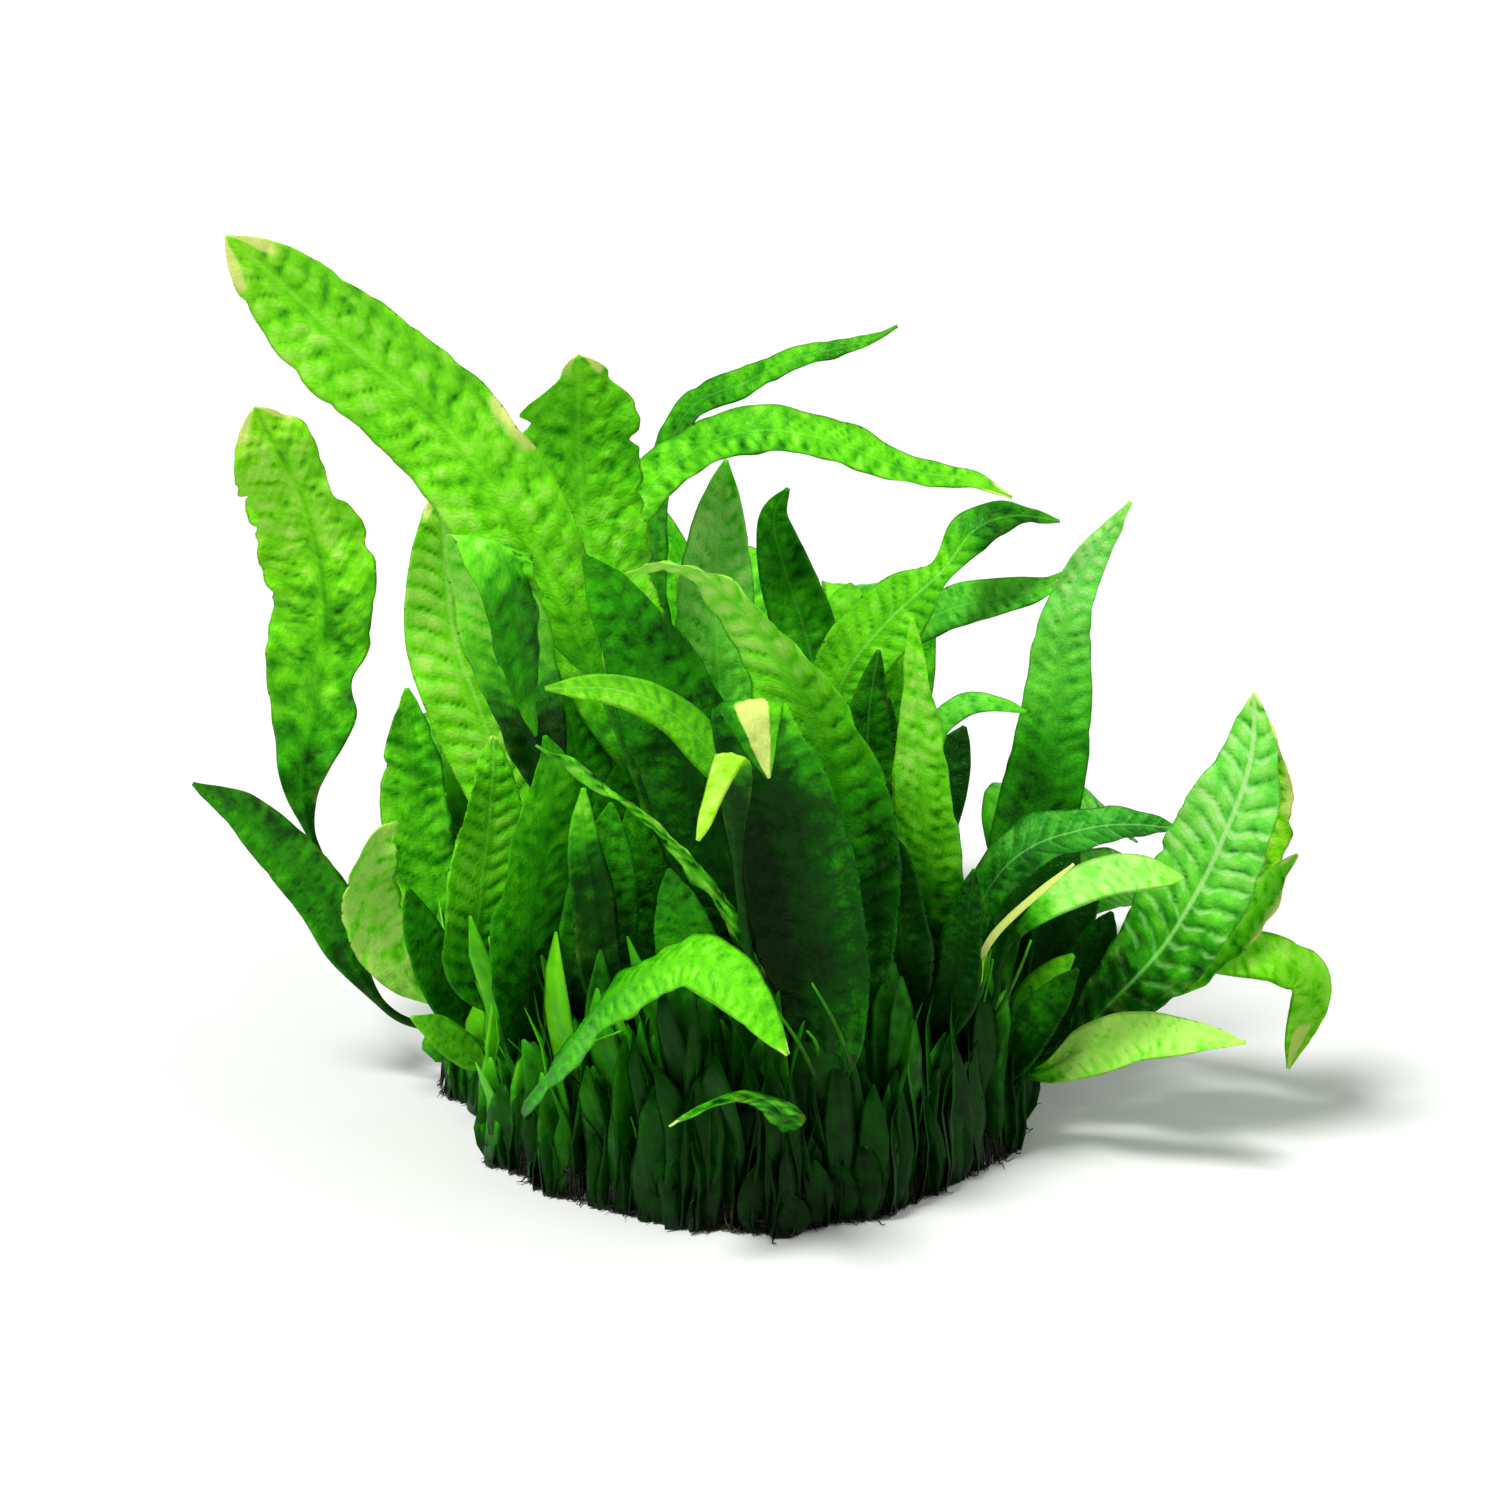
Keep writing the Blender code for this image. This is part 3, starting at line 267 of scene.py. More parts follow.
# How a leaf looks, with its light and shade painted into its colour: light from 0 dark to 1 bright, warmth
# from -1 cool to 1 yellow, wear in spots, ragged margins, how pale (or below 0, how dark) its veins are,
# where along it the tip turns pale, how crumpled it is, how far along it the clump's painted shade reaches
# and where that shade begins to lift, how strongly it is quilted between its side veins, where painted shade
# falls on it again towards the tip, and how much lighter its right half is painted, as painted light from one
# side
Look = collections.namedtuple("Look", "light warmth wear rag veins pale crumple shade dim quilt fade tilt",
                              defaults=(0.55, 0.0, 0.08, 0.02, 0.15, 1.0, 1.0, 0.75, 0.15, 0.4, 1.0, -0.06))
LOOKS = {
    "tall_left": Look(0.94, 0.25, wear=0.15, rag=0.05, veins=0.15, pale=0.955, crumple=1.3, shade=0.62,
                      dim=0.24, quilt=0.5),
    "top_notched": Look(0.9, 0.1, wear=0.15, rag=0.16, pale=0.97, crumple=1.5, shade=0.7, quilt=0.2),
    "far_left": Look(1.02, 0.4, wear=0.18, rag=0.14, veins=-0.6, pale=0.975, crumple=2.4, shade=0.9, dim=0.22,
                     quilt=0.1),
    "left_inner": Look(0.98, 0.25, veins=0.4, pale=0.95, crumple=1.3, shade=0.65, quilt=1.0),
    "drooping": Look(0.98, -0.15, veins=0.05, crumple=1.5, shade=0.64, dim=0.45, quilt=0.5, fade=0.76),
    "arched_big": Look(1.25, -0.06, wear=0.0, veins=-0.1, crumple=1.3, shade=0.95, dim=0.36, quilt=0.7,
                       tilt=0.02),
    "small_left": Look(0.85, 0.2, veins=0.3, shade=0.8, dim=0.4),
    "folded_tip": Look(0.66, wear=0.0, veins=0.0, pale=0.87, shade=0.86, dim=0.6, tilt=0.22),
    "pale_tip": Look(1.0, 0.75, pale=1.0, shade=0.86, dim=0.76),
    "upright_right": Look(1.04, 0.1, wear=0.15, veins=0.0, crumple=1.4, shade=0.88, dim=0.15, quilt=0.4),
    "right_tall": Look(1.12, -0.5, wear=0.0, rag=0.06, veins=-0.1, crumple=2.0, shade=0.95, dim=0.3,
                       quilt=0.5),
    "right_thin": Look(0.72, -0.3, crumple=1.5, shade=0.6),
    "bridge": Look(0.75, -0.3, crumple=1.6),
    "right_arch": Look(0.48, -0.4, rag=0.04, veins=0.4, crumple=1.6, shade=0.8, dim=0.2, quilt=0.6),
    "right_big": Look(0.95, -0.4, wear=0.12, rag=0.06, veins=1.15, pale=0.985, crumple=1.5, shade=0.78,
                      dim=0.25, quilt=0.9),
    "right_ragged": Look(0.8, 0.55, wear=0.4, rag=0.25, pale=0.93, crumple=2.0, shade=0.5),
    "right_low": Look(0.95, 0.0, wear=0.15, rag=0.16, pale=0.96, crumple=2.2, shade=0.7, dim=0.2),
    "right_bottom": Look(1.3, 0.1, veins=0.1, crumple=1.2, shade=0.45),
    "right_level": Look(1.12, -0.3, veins=0.1, shade=0.76, dim=0.58),
    "yellow_sliver": Look(0.9, 0.9, pale=0.62, shade=0.5),
    "top_arch": Look(0.8, 0.1, wear=0.2, pale=0.97, crumple=1.8, shade=0.6),
    "mid_right": Look(0.8, 0.15, veins=0.35, crumple=1.6, shade=0.55, quilt=0.8, fade=0.8),
    "top_centre": Look(1.1, -0.35, rag=0.04, crumple=1.5, shade=0.85, dim=0.2, quilt=0.4),
    "top_hook": Look(0.5),
    "left_low": Look(0.46, 0.1, rag=0.04, veins=0.0, shade=0.5, quilt=0.1),
    "left_mottled": Look(1.3, 0.15, wear=0.4, rag=0.18, veins=0.0, crumple=2.4, shade=0.6, dim=-0.3,
                         quilt=0.3),
    "left_wavy": Look(0.72, 0.05, wear=0.2, rag=0.14, veins=0.0, crumple=2.4, shade=0.5, dim=-0.2),
    "left_ribbed": Look(0.86, veins=0.25, rag=0.04, pale=0.975, crumple=1.5, shade=0.75, quilt=0.9),
    "front_broad": Look(0.6, wear=0.0, veins=0.0, crumple=1.4, quilt=0.3),
    "bright_tip": Look(0.95, -0.1, veins=0.0, crumple=1.4, shade=0.97, dim=0.75),
    "twisted": Look(0.78, wear=0.5, rag=0.22, crumple=2.4, shade=0.7, dim=0.3),
    "front_arch": Look(0.84, 0.04, wear=0.0, rag=0.05, veins=0.0, pale=0.985, crumple=1.6, shade=0.8,
                       dim=-0.3),
    "front_thin": Look(0.75, shade=0.2, dim=-0.5),
    "front_small": Look(0.5, 0.1, wear=0.3, pale=0.97, shade=0.4, dim=0.0),
    "left_hook": Look(0.8, 0.1, shade=0.3, dim=-0.3),
    "dark_mid": Look(0.52, wear=0.0, veins=0.0, crumple=1.4, shade=1.0, dim=0.3),
    "mid_back": Look(0.4),
    "top_back": Look(0.6, 0.15, wear=0.12, rag=0.12, crumple=1.8),
    "right_far": Look(0.95, 0.3, wear=0.15, rag=0.1, pale=0.9, crumple=1.8, shade=0.5),
}
BACK_LOOK = Look(0.78, 0.08, rag=0.03, shade=0.7)
YOUNG_LOOK = Look(0.54, wear=0.0, veins=0.05, crumple=1.4, shade=0.95)
YOUNG_DARKER = 0.24  # how much light the young leaves lose from the left of the clump to its right
YOUNG_DARKENING = (-30, 35)  # from where to where across it, in millimetres

# Bites out of the margins: where along the leaf, on which side (-1 left, 0 both, 1 right), how deep as a
# share of the half width, and how long
BITES = {
    "far_left": ((0.87, 1, 0.42, 0.07), (0.6, 1, 0.36, 0.035), (0.67, 1, 0.2, 0.04), (0.7, -1, 0.12, 0.02)),
    "top_notched": ((0.975, -1, 0.5, 0.025), (0.965, 1, 0.35, 0.02)),
    "pale_tip": ((0.93, 0, 0.3, 0.05),),
    "yellow_sliver": ((0.8, 0, 0.5, 0.3),),
    "mid_right": ((0.8, 0, 0.6, 0.05),),
    "twisted": ((0.82, 0, 0.38, 0.12), (0.5, 1, 0.3, 0.05), (0.62, -1, 0.3, 0.04)),
    "right_low": ((0.95, 1, 0.3, 0.03), (0.8, -1, 0.3, 0.04)),
}

# Pale patches: where along the leaf and across it (-1 left margin, 1 right margin), and how long and broad
PATCHES = {
    "tall_left": ((0.7, 1.0, 0.03, 0.3),),
    "right_low": ((0.88, 1.0, 0.12, 0.4),),
    "right_ragged": ((0.86, 1.0, 0.06, 0.5),),
}

# Single straps that fill gaps: foot and tip as (across, up, back) in millimetres
GAP_STRAPS = (((-64, 14, 12), (-70, 74, 30)), ((-60, 12, 12), (-64, 60, 30)))

# Single pale stems low in the clump: foot and tip as (across, up, back) in millimetres
PALE_STEMS = (
    ((38, 13, -30), (43.5, 31, -46)), ((42, 13, -32), (52, 33, -50)), ((36.6, 4, -24), (44, 29, -44)),
    ((14, 7, -70), (6, 24, -78)), ((6.7, 4, -70), (-2, 19, -80)), ((7, 9, -70), (5, 14, -76)),
    ((-34, -10, -50), (-35, 2, -56)), ((-31, -14, -54), (-32, -4, -60)), ((-28, -16, -57), (-29, -5, -63)),
)
TONGUE = 0.5  # the share of the folded tip's half width that turns pale

LEAST_LENGTH = 1e-12  # what is added to a strand's lengths before they divide


def seen(across, up, back):
    """The point that lies back from the origin and shows at (across, up) to the eye, all in millimetres."""
    across, up, back = across * MM, up * MM, back * MM
    spread_up = (up - SIGHT_UP) / EYE_DISTANCE
    spread_across = (across - SIGHT_ACROSS) / EYE_DISTANCE
    sine, cosine = math.sin(VIEW_DOWN), math.cos(VIEW_DOWN)
    height = (up + back * (spread_up * cosine - sine)) / (cosine + spread_up * sine)
    into = back * cosine - height * sine
    return RIGHT * (across + spread_across * into) + BACK * back + UP * height


def smooth_line(points, count):
    """A Catmull-Rom curve through the points, read at equal steps of its length."""
    points = np.asarray(points, float)
    ends = np.vstack([2 * points[0] - points[1], points, 2 * points[-1] - points[-2]])
    t = np.linspace(0, 1, 24, endpoint=False)[:, None]
    runs = []
    for a, b, c, d in zip(ends, ends[1:], ends[2:], ends[3:]):
        runs.append(0.5 * (2 * b + (c - a) * t + (2 * a - 5 * b + 4 * c - d) * t**2
                           + (3 * b - a - 3 * c + d) * t**3))
    line = np.vstack([*runs, points[-1:]])
    lengths = np.concatenate([[0], np.cumsum(np.linalg.norm(np.diff(line, axis=0), axis=1))])
    steps = np.linspace(0, lengths[-1], count)
    return np.column_stack([np.interp(steps, lengths, line[:, k]) for k in range(3)]), lengths[-1]


def unit(vectors, least=0.0):
    """The vectors at length one. The least is added to their lengths, for a vector that has none."""
    return vectors / (np.linalg.norm(vectors, axis=-1, keepdims=True) + least)


def smooth_step(low, high, value):
    """0 below low, 1 above high, and 3t^2 - 2t^3 between."""
    t = np.clip((value - low) / (high - low), 0, 1)
    return t * t * (3 - 2 * t)


def rhizome_line(name, count=60):
    """The rhizome's middle line: level, through its places."""
    return smooth_line([(x * MM, y * MM, RHIZOME_HEIGHT) for x, y in RHIZOMES[name]], count)[0]


def foot_of(rhizome, share, goal, reach):
    """Where a stalk starts: above the rhizome's middle line, leaning to the side that the stalk goes to."""
    line = rhizome_line(rhizome)
    place = share * (len(line) - 1)
    index = min(int(place), len(line) - 2)
    point = line[index] + (line[index + 1] - line[index]) * (place - index)
    along = line[index + 1] - line[index]
    aside = np.cross(unit(along), UP)
    way = unit(goal - point)
    lean = FOOT_LEAN * np.clip(way.dot(aside) * 2, -1, 1)
    return point + (aside * math.sin(lean) + UP * math.cos(lean)) * reach


class Leaf:
    """A leaf's surface: its midrib, how wide it is, the way its blade faces, and how it looks."""

    def __init__(self, number, name, rhizome, share, width, stalk, turns, points, foot=FREE_FOOT, look=None):
        goals = [seen(*point) for point in points]
        self.name = name
        self.number = number
        self.width = width * MM
        self.stalk = stalk
        self.turns = np.radians(turns)
        self.widest = WIDEST_PLACES.get(name, WIDEST)
        self.tip_power = TIP_POWERS.get(name, TIP_POWER)
        self.look = look or LOOKS.get(name, BACK_LOOK)
        self.line, self.length = smooth_line([foot_of(rhizome, share, goals[0], foot), *goals], LINE_POINTS)
        self.shift = np.zeros(KNOTS)

    def half_width(self, v):
        """Lance-shaped: the stalk widens as a sine wave up to the widest place, then draws in to the tip."""
        blade = np.clip((v - self.stalk) / (1 - self.stalk), 0, 1)
        widening = np.sin(np.pi / 2 * np.clip(blade / self.widest, 0, 1)) ** 1.2
        narrowing = (1 - np.clip((blade - self.widest) / (1 - self.widest), 0, 1) ** self.tip_power) ** 0.8
        bulge = widening * narrowing * self.width / 2
        return np.maximum(np.hypot(bulge, STALK_HALF_WIDTH * (1 - 0.5 * blade)), TIP_HALF_WIDTH)

    def frames(self):
        """Sideways and face directions along the midrib, carried along it without spin, then turned."""
        tangents = unit(np.gradient(self.line, axis=0))
        side = np.cross(tangents[0], TO_VIEWER)
        sides = []
        for tangent in tangents:
            side = unit(side - tangent * side.dot(tangent))
            sides.append(side)
        sides = np.array(sides)
        faces = np.cross(sides, tangents)
        turn = np.interp(np.linspace(0, 1, len(sides)), (0, 0.5, 1), self.turns)[:, None]
        turned = sides * np.cos(turn) + faces * np.sin(turn)
        return turned, np.cross(turned, tangents)

    def middle(self, v):
        """Midrib points, sideways directions and face directions at v."""
        sides, faces = self.frames()
        places = np.linspace(0, 1, len(self.line))
        away = np.interp(v, np.linspace(0, 1, KNOTS), self.shift)

        def read(table):
            return np.stack([np.interp(v, places, table[:, k]) for k in range(3)], axis=-1)

        return read(self.line) + INTO_VIEW * away[..., None], read(sides), read(faces)

    def surface(self, u, v):
        """The point at u from -1 to 1 across and v from 0 to 1 along, for arrays of one shape."""
        middle, sides, faces = self.middle(v)
        half = self.half_width(v)
        cup = LEAF_CUP * half * u**2
        return middle + sides * (u * half)[..., None] + faces * cup[..., None]


def near_pairs(leaves):
    """Sample points of two leaves that show close together: leaf, place along it, and depth of each."""
    places = np.linspace(0, 1, SAMPLE_ROWS), np.linspace(-1, 1, SAMPLE_COLUMNS)
    v, u = (grid.ravel() for grid in np.meshgrid(*places, indexing="ij"))
    grids = [leaf.surface(u, v) for leaf in leaves]
    flat = [np.column_stack([grid @ RIGHT, grid @ VIEW_UP]) for grid in grids]
    found = []
    for i, first in enumerate(leaves):
        for j in range(i + 1, len(leaves)):
            second = leaves[j]
            low = np.maximum(flat[i].min(0), flat[j].min(0)) - PAIR_REACH
            high = np.minimum(flat[i].max(0), flat[j].max(0)) + PAIR_REACH
            if (low > high).any():
                continue
            apart = np.linalg.norm(flat[i][:, None] - flat[j][None], axis=2)
            a, b = np.nonzero(apart < PAIR_REACH)
            free = np.maximum(v[a] * first.length, v[b] * second.length) > FOOT_ZONE
            a, b = a[free], b[free]
            if not len(a):
                continue
            depth_a, depth_b = grids[i][a] @ INTO_VIEW, grids[j][b] @ INTO_VIEW
            one, other = (np.full(len(a), i), v[a], depth_a), (np.full(len(a), j), v[b], depth_b)
            found.append(one + other if (depth_b - depth_a).sum() >= 0 else other + one)
    return [np.concatenate(column) for column in zip(*found)]


def settle(leaves):
    """Slides parts of leaves along the line of sight until each keeps its clearance from those behind it."""
    front, front_v, front_depth, rear, rear_v, rear_depth = near_pairs(leaves)
    shift = np.zeros((len(leaves), KNOTS))

    def knots_of(v):
        place = v * (KNOTS - 1)
        low = np.minimum(place.astype(int), KNOTS - 2)
        return low, place - low

    front_low, front_share = knots_of(front_v)
    rear_low, rear_share = knots_of(rear_v)

    def moved(leaf, low, share):
        return shift[leaf, low] * (1 - share) + shift[leaf, low + 1] * share

    for _ in range(SETTLE_ROUNDS):
        room = (rear_depth + moved(rear, rear_low, rear_share)
                - front_depth - moved(front, front_low, front_share))
        short = np.maximum(CLEARANCE - room, 0)
        forward, backward = np.zeros_like(shift), np.zeros_like(shift)
        for step, share in ((0, 1 - front_share), (1, front_share)):
            np.maximum.at(forward, (front, front_low + step), short * share)
        for step, share in ((0, 1 - rear_share), (1, rear_share)):
            np.maximum.at(backward, (rear, rear_low + step), short * share)
        shift += SETTLE_STEP * (backward - forward)
        shift[:, 1:-1] += EVENING_STEP * (shift[:, :-2] + shift[:, 2:] - 2 * shift[:, 1:-1])
        shift[:, 0] = 0
    for leaf, row in zip(leaves, shift):
        leaf.shift = row


@functools.cache
def all_leaves():
    """The leaves, and the young leaves of each rhizome, all settled together."""
    leaves = [Leaf(number, *row) for number, row in enumerate(LEAVES)]
    young = {name: [] for name in RHIZOMES}
    rows = [(rhizome, *row) for rhizome, grown in YOUNG_LEAVES.items() for row in grown]
    for number, (rhizome, share, width, stalk, points) in enumerate(rows, start=len(leaves)):
        darker = YOUNG_DARKER * smooth_step(*YOUNG_DARKENING, points[0][0])
        look = YOUNG_LOOK._replace(light=YOUNG_LOOK.light - darker)
        young[rhizome].append(Leaf(number, "young", rhizome, share, width, stalk, (0, 0, 0), points,
                                   foot=GROWN_FOOT, look=look))
    settle(leaves + [leaf for grown in young.values() for leaf in grown])
    return leaves, young


STEEP = 0.8  # a strand that starts with more of its way upwards than this has its rings set out from X

# What each corner of a skin tells its material
TINTS = ("light", "warmth", "wear", "pale", "veining")


def tints_of(light, *others):
    """The tints as the last axis of one array: those that aren't given are nought."""
    parts = (light, *others, *[0.0] * (len(TINTS) - 1 - len(others)))
    return np.stack([np.broadcast_to(part, np.shape(light)) for part in parts], axis=-1)


def placed(name, data):
    """A new object of the data, in the scene."""
    made = bpy.data.objects.new(name, data)
    bpy.context.scene.collection.objects.link(made)
    return made


class Surface:
    """Corner places, faces, a pattern map and tints for each corner, of one closed skin or of several."""

    def __init__(self, corners, quads, map_places, tints, triangles=(), finish=0):
        self.corners = np.asarray(corners, float).reshape(-1, 3)
        self.quads = np.asarray(quads, int).reshape(-1, 4)
        self.triangles = np.asarray(triangles, int).reshape(-1, 3)
        self.map_places = np.asarray(map_places, float).reshape(-1, 2)
        self.tints = np.asarray(tints, float).reshape(-1, len(TINTS))
        self.finishes = np.full(len(self.quads) + len(self.triangles), finish)

    def joined(self, *others):
        """One surface of this one and the others, whose face numbers are counted on from it."""
        parts = (self, *others)
        starts = np.cumsum([0] + [len(part.corners) for part in parts[:-1]])
        made = Surface(
            np.vstack([part.corners for part in parts]),
            np.vstack([part.quads + start for part, start in zip(parts, starts)]),
            np.vstack([part.map_places for part in parts]),
            np.vstack([part.tints for part in parts]),
            np.vstack([part.triangles + start for part, start in zip(parts, starts)]),
        )
        of_quads = [part.finishes[: len(part.quads)] for part in parts]
        of_triangles = [part.finishes[len(part.quads):] for part in parts]
        made.finishes = np.concatenate(of_quads + of_triangles)
        return made

    def piece(self, name, *coats, slot, replaces=()):
        """The mesh object, shaded smooth, riding on the body, with its coats and the nodes it replaces."""
        mesh = bpy.data.meshes.new(name)
        mesh.vertices.add(len(self.corners))
        mesh.vertices.foreach_set("co", self.corners.astype(np.float32).ravel())
        loops = np.concatenate([self.quads.ravel(), self.triangles.ravel()])
        sizes = np.concatenate([np.full(len(self.quads), 4), np.full(len(self.triangles), 3)])
        mesh.loops.add(len(loops))
        mesh.loops.foreach_set("vertex_index", loops.astype(np.int32))
        mesh.polygons.add(len(sizes))
        mesh.polygons.foreach_set("loop_start", np.concatenate([[0], np.cumsum(sizes)[:-1]]).astype(np.int32))
        mesh.polygons.foreach_set("material_index", self.finishes.astype(np.int32))
        mesh.update(calc_edges=True)
        pattern = mesh.uv_layers.new(name="pattern")
        pattern.data.foreach_set("uv", self.map_places[loops].astype(np.float32).ravel())
        for tint, values in zip(TINTS, self.tints.T):
            mesh.attributes.new(tint, "FLOAT", "POINT").data.foreach_set("value", values.astype(np.float32))
        mesh.shade_smooth()
        for coat in coats:
            mesh.materials.append(coat)
        made = placed(name, mesh)
        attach(made, BODY)
        if replaces:
            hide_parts(*replaces)
        return made


def tube_quads(rows, sides, first=0):
    """Faces between rings of corners, counted on from the first: (i, j) joins (i, j + 1) and row i + 1."""
    i, j = np.meshgrid(np.arange(rows - 1), np.arange(sides), indexing="ij")
    here, after = first + i * sides + j, first + i * sides + (j + 1) % sides
    return np.stack([here, after, after + sides, here + sides], axis=-1)


def loft(rings, map_places, tints, finish=0):
    """A closed skin through rings of corners, shaped (rows, sides, 3), with a fan of triangles over each end.

    The rings run anticlockwise as seen from the last row.
    """
    rows, sides = rings.shape[:2]
    around = np.arange(sides)
    following = (around + 1) % sides
    first_hub, last_hub = rows * sides, rows * sides + 1
    first_fan = np.stack([following, around, np.full(sides, first_hub)], axis=-1)
    last_row = (rows - 1) * sides
    last_fan = np.stack([last_row + around, last_row + following, np.full(sides, last_hub)], axis=-1)

    def with_hubs(table):
        return np.vstack([table.reshape(-1, table.shape[-1]), table[0].mean(0), table[-1].mean(0)])

    return Surface(with_hubs(rings), tube_quads(rows, sides), with_hubs(map_places), with_hubs(tints),
                   np.vstack([first_fan, last_fan]), finish)


def strands(paths, radii, tints, sides=3, flat=1.0, spin=None):
    """Many thin tubes at once: paths shaped (count, points, 3), radii (count, points), ends closed.

    A ring's corner is the path's point plus the radius times a unit vector turned round the path, which is
    pressed flat one way. Each path's spin turns its ring.
    """
    count, points = paths.shape[:2]
    along = unit(np.gradient(paths, axis=1), LEAST_LENGTH)
    helper = np.where(np.abs(along[:, :1, 2:]) > STEEP, [[[1.0, 0.0, 0.0]]], [[[0.0, 0.0, 1.0]]])
    aside = unit(np.cross(along, np.broadcast_to(helper, along.shape)), LEAST_LENGTH)
    over = np.cross(along, aside)
    if spin is not None:
        cosine, sine = np.cos(spin)[:, None, None], np.sin(spin)[:, None, None]
        aside, over = aside * cosine + over * sine, over * cosine - aside * sine
    turn = np.arange(sides) * 2 * np.pi / sides
    circle = aside[:, :, None] * np.cos(turn)[:, None] + flat * over[:, :, None] * np.sin(turn)[:, None]
    corners = paths[:, :, None] + circle * radii[:, :, None, None]
    starts = (np.arange(count) * points * sides)[:, None]
    quads = tube_quads(points, sides, starts[:, None])
    wheel = np.arange(1, sides - 1)
    last = starts + (points - 1) * sides
    foot = np.stack([starts + 0 * wheel, starts + wheel + 1, starts + wheel], axis=-1)
    head = np.stack([last + 0 * wheel, last + wheel, last + wheel + 1], axis=-1)
    shares = np.broadcast_to(np.linspace(0, 1, points)[None, :, None], (count, points, sides))
    turns = np.broadcast_to(np.arange(sides) / sides, (count, points, sides))
    tints = np.broadcast_to(tints[:, :, None], (count, points, sides, len(TINTS)))
    return Surface(corners, quads, np.stack([turns, shares], axis=-1), tints,
                   np.concatenate([foot.reshape(-1, 3), head.reshape(-1, 3)]))


# Leaf skins

ROW_STEP, ROW_LIMITS = 0.85 * MM, (40, 260)
COLUMN_STEP, HALF_COLUMN_LIMITS = 0.95 * MM, (4, 14)
VEIN_SHARE = 0.225  # the gap between side veins as a share of the leaf's width
LEAST_VEIN_GAP = 2.8 * MM
VEIN_SLANT = 0.6
VEIN_OFFSET, VEIN_OFFSET_REACH = 0.25, 1.5 * MM  # how far the veins of the two halves are set off each other
VEIN_DRIFT, VEIN_WIGGLE = 0.17, 0.08
BLISTER, FINE_BLISTER = 6 * MM, 2.6 * MM
BLADE_HALF_THICK = 0.17 * MM
STALK_HALF_THICK = 0.85 * MM
STALK_THINNING = 0.72  # the share of its thickness that the stalk has lost where it ends in the blade
MIDRIB_REACH = 0.75 * MM
BLADE_RISE = 0.16  # the share of the length over which the relief grows behind the stalk
RIM_POWER = 5
ROLL, ROLL_LONG, TWIST_LONG = 0.022, 9 * MM, 5 * MM
NOTCHES = ((1, 2.1 * MM), (5, 2.7 * MM))  # the ripple along each margin: its step and the length of its waves
RUFFLES = ((7, 4.1 * MM), (11, 3.6 * MM))
NICK_SHARE, NICK_LONG = 0.2, 1.7 * MM

# The light and shade painted on a leaf
FADE_REACH, FADE_DEPTH, FADE_END = 0.1, 0.7, 0.3
LEAST_LIT = 0.22  # the share of its light that a leaf keeps in the clump's shade
DIM_RELIEF, LIT_RELIEF = 0.12, 0.6  # how much lighter bulges are painted than grooves, as painted highlight on the bulges and painted shade in the grooves, in shade and in light
CLOUD, DRIFT_LONG = 5 * MM, 13 * MM


def ripple(number, step, value):
    """A repeatable wavy line between -1 and 1: three sines whose lengths and places come from the number."""
    spin = 1.7 * number + step
    return (np.sin(value + spin) + 0.6 * np.sin(1.71 * value + 2.3 * spin)
            + 0.4 * np.sin(3.13 * value + 3.9 * spin)) / 2


def lumps(places, size, seed):
    """Smooth repeatable noise near -1 to 1: sines of the place along eight chance directions."""
    chance = np.random.default_rng(seed)
    ways = chance.normal(size=(8, 3))
    ways *= 2 * np.pi / size / np.linalg.norm(ways, axis=1)[:, None] * chance.uniform(0.6, 1.6, (8, 1))
    return np.sin(places @ ways.T + chance.uniform(0, 6.3, 8)).sum(-1) / 4


def blister(leaf, along, across, veins, gap):
    """Bulges between side veins, from 0 in the grooves to 1: a sine of the vein count to a low power, times
    the same of the way out from the midrib, which is shifted from one strip to the next and warped by noise.
    The less the leaf is quilted, the more the noise alone lifts it."""
    quilt = leaf.look.quilt
    out = np.abs(across)
    place = np.stack([across, along, 0 * across], axis=-1)
    warp = lumps(place, BLISTER, leaf.number) * (1 - quilt)
    veins = veins + 0.4 * warp
    shift = 0.5 + 0.5 * np.sin(np.floor(veins) * 2.4 + leaf.number)
    ridge = np.abs(np.sin(np.pi * veins)) ** 0.65
    cell = np.abs(np.sin(np.pi * (out / (0.95 * gap) + shift + 0.8 * warp))) ** 0.7
    fine = 0.5 + 0.5 * lumps(place, FINE_BLISTER, leaf.number + 60)
    pillows = ridge * (0.62 + 0.26 * cell + 0.12 * fine)
    return pillows * (0.5 + 0.5 * quilt) + fine * (0.5 - 0.5 * quilt)


def bell(x, y=0):
    """A bell curve of one distance or two, 1 at nought."""
    return np.exp(-(x**2) - y**2)


def along_margins(leaf, u, along, ripples):
    """A ripple along the left margin and another along the right."""
    left, right = (ripple(leaf.number, step, along / long) for step, long in ripples)
    return np.where(u < 0, left, right)


def ragged_half_width(leaf, u, v):
    """The half width, less a share for notches and nicks that grow towards the tip, and bell-shaped bites."""
    along = v * leaf.length
    nicks = ripple(leaf.number, 6, along / NICK_LONG + 9 * (u > 0))
    tear = np.clip(along_margins(leaf, u, along, NOTCHES), 0, 1) ** 1.5 + NICK_SHARE * nicks
    tear = tear * smooth_step(leaf.stalk + 0.2, leaf.stalk + 0.4, v)
    half = leaf.half_width(v) * (1 - leaf.look.rag * tear * (1 + v**8))
    for place, side, depth, reach in BITES.get(leaf.name, ()):
        half *= 1 - depth * bell((v - place) / reach) * ((side == 0) | (u * side > 0))
    return half


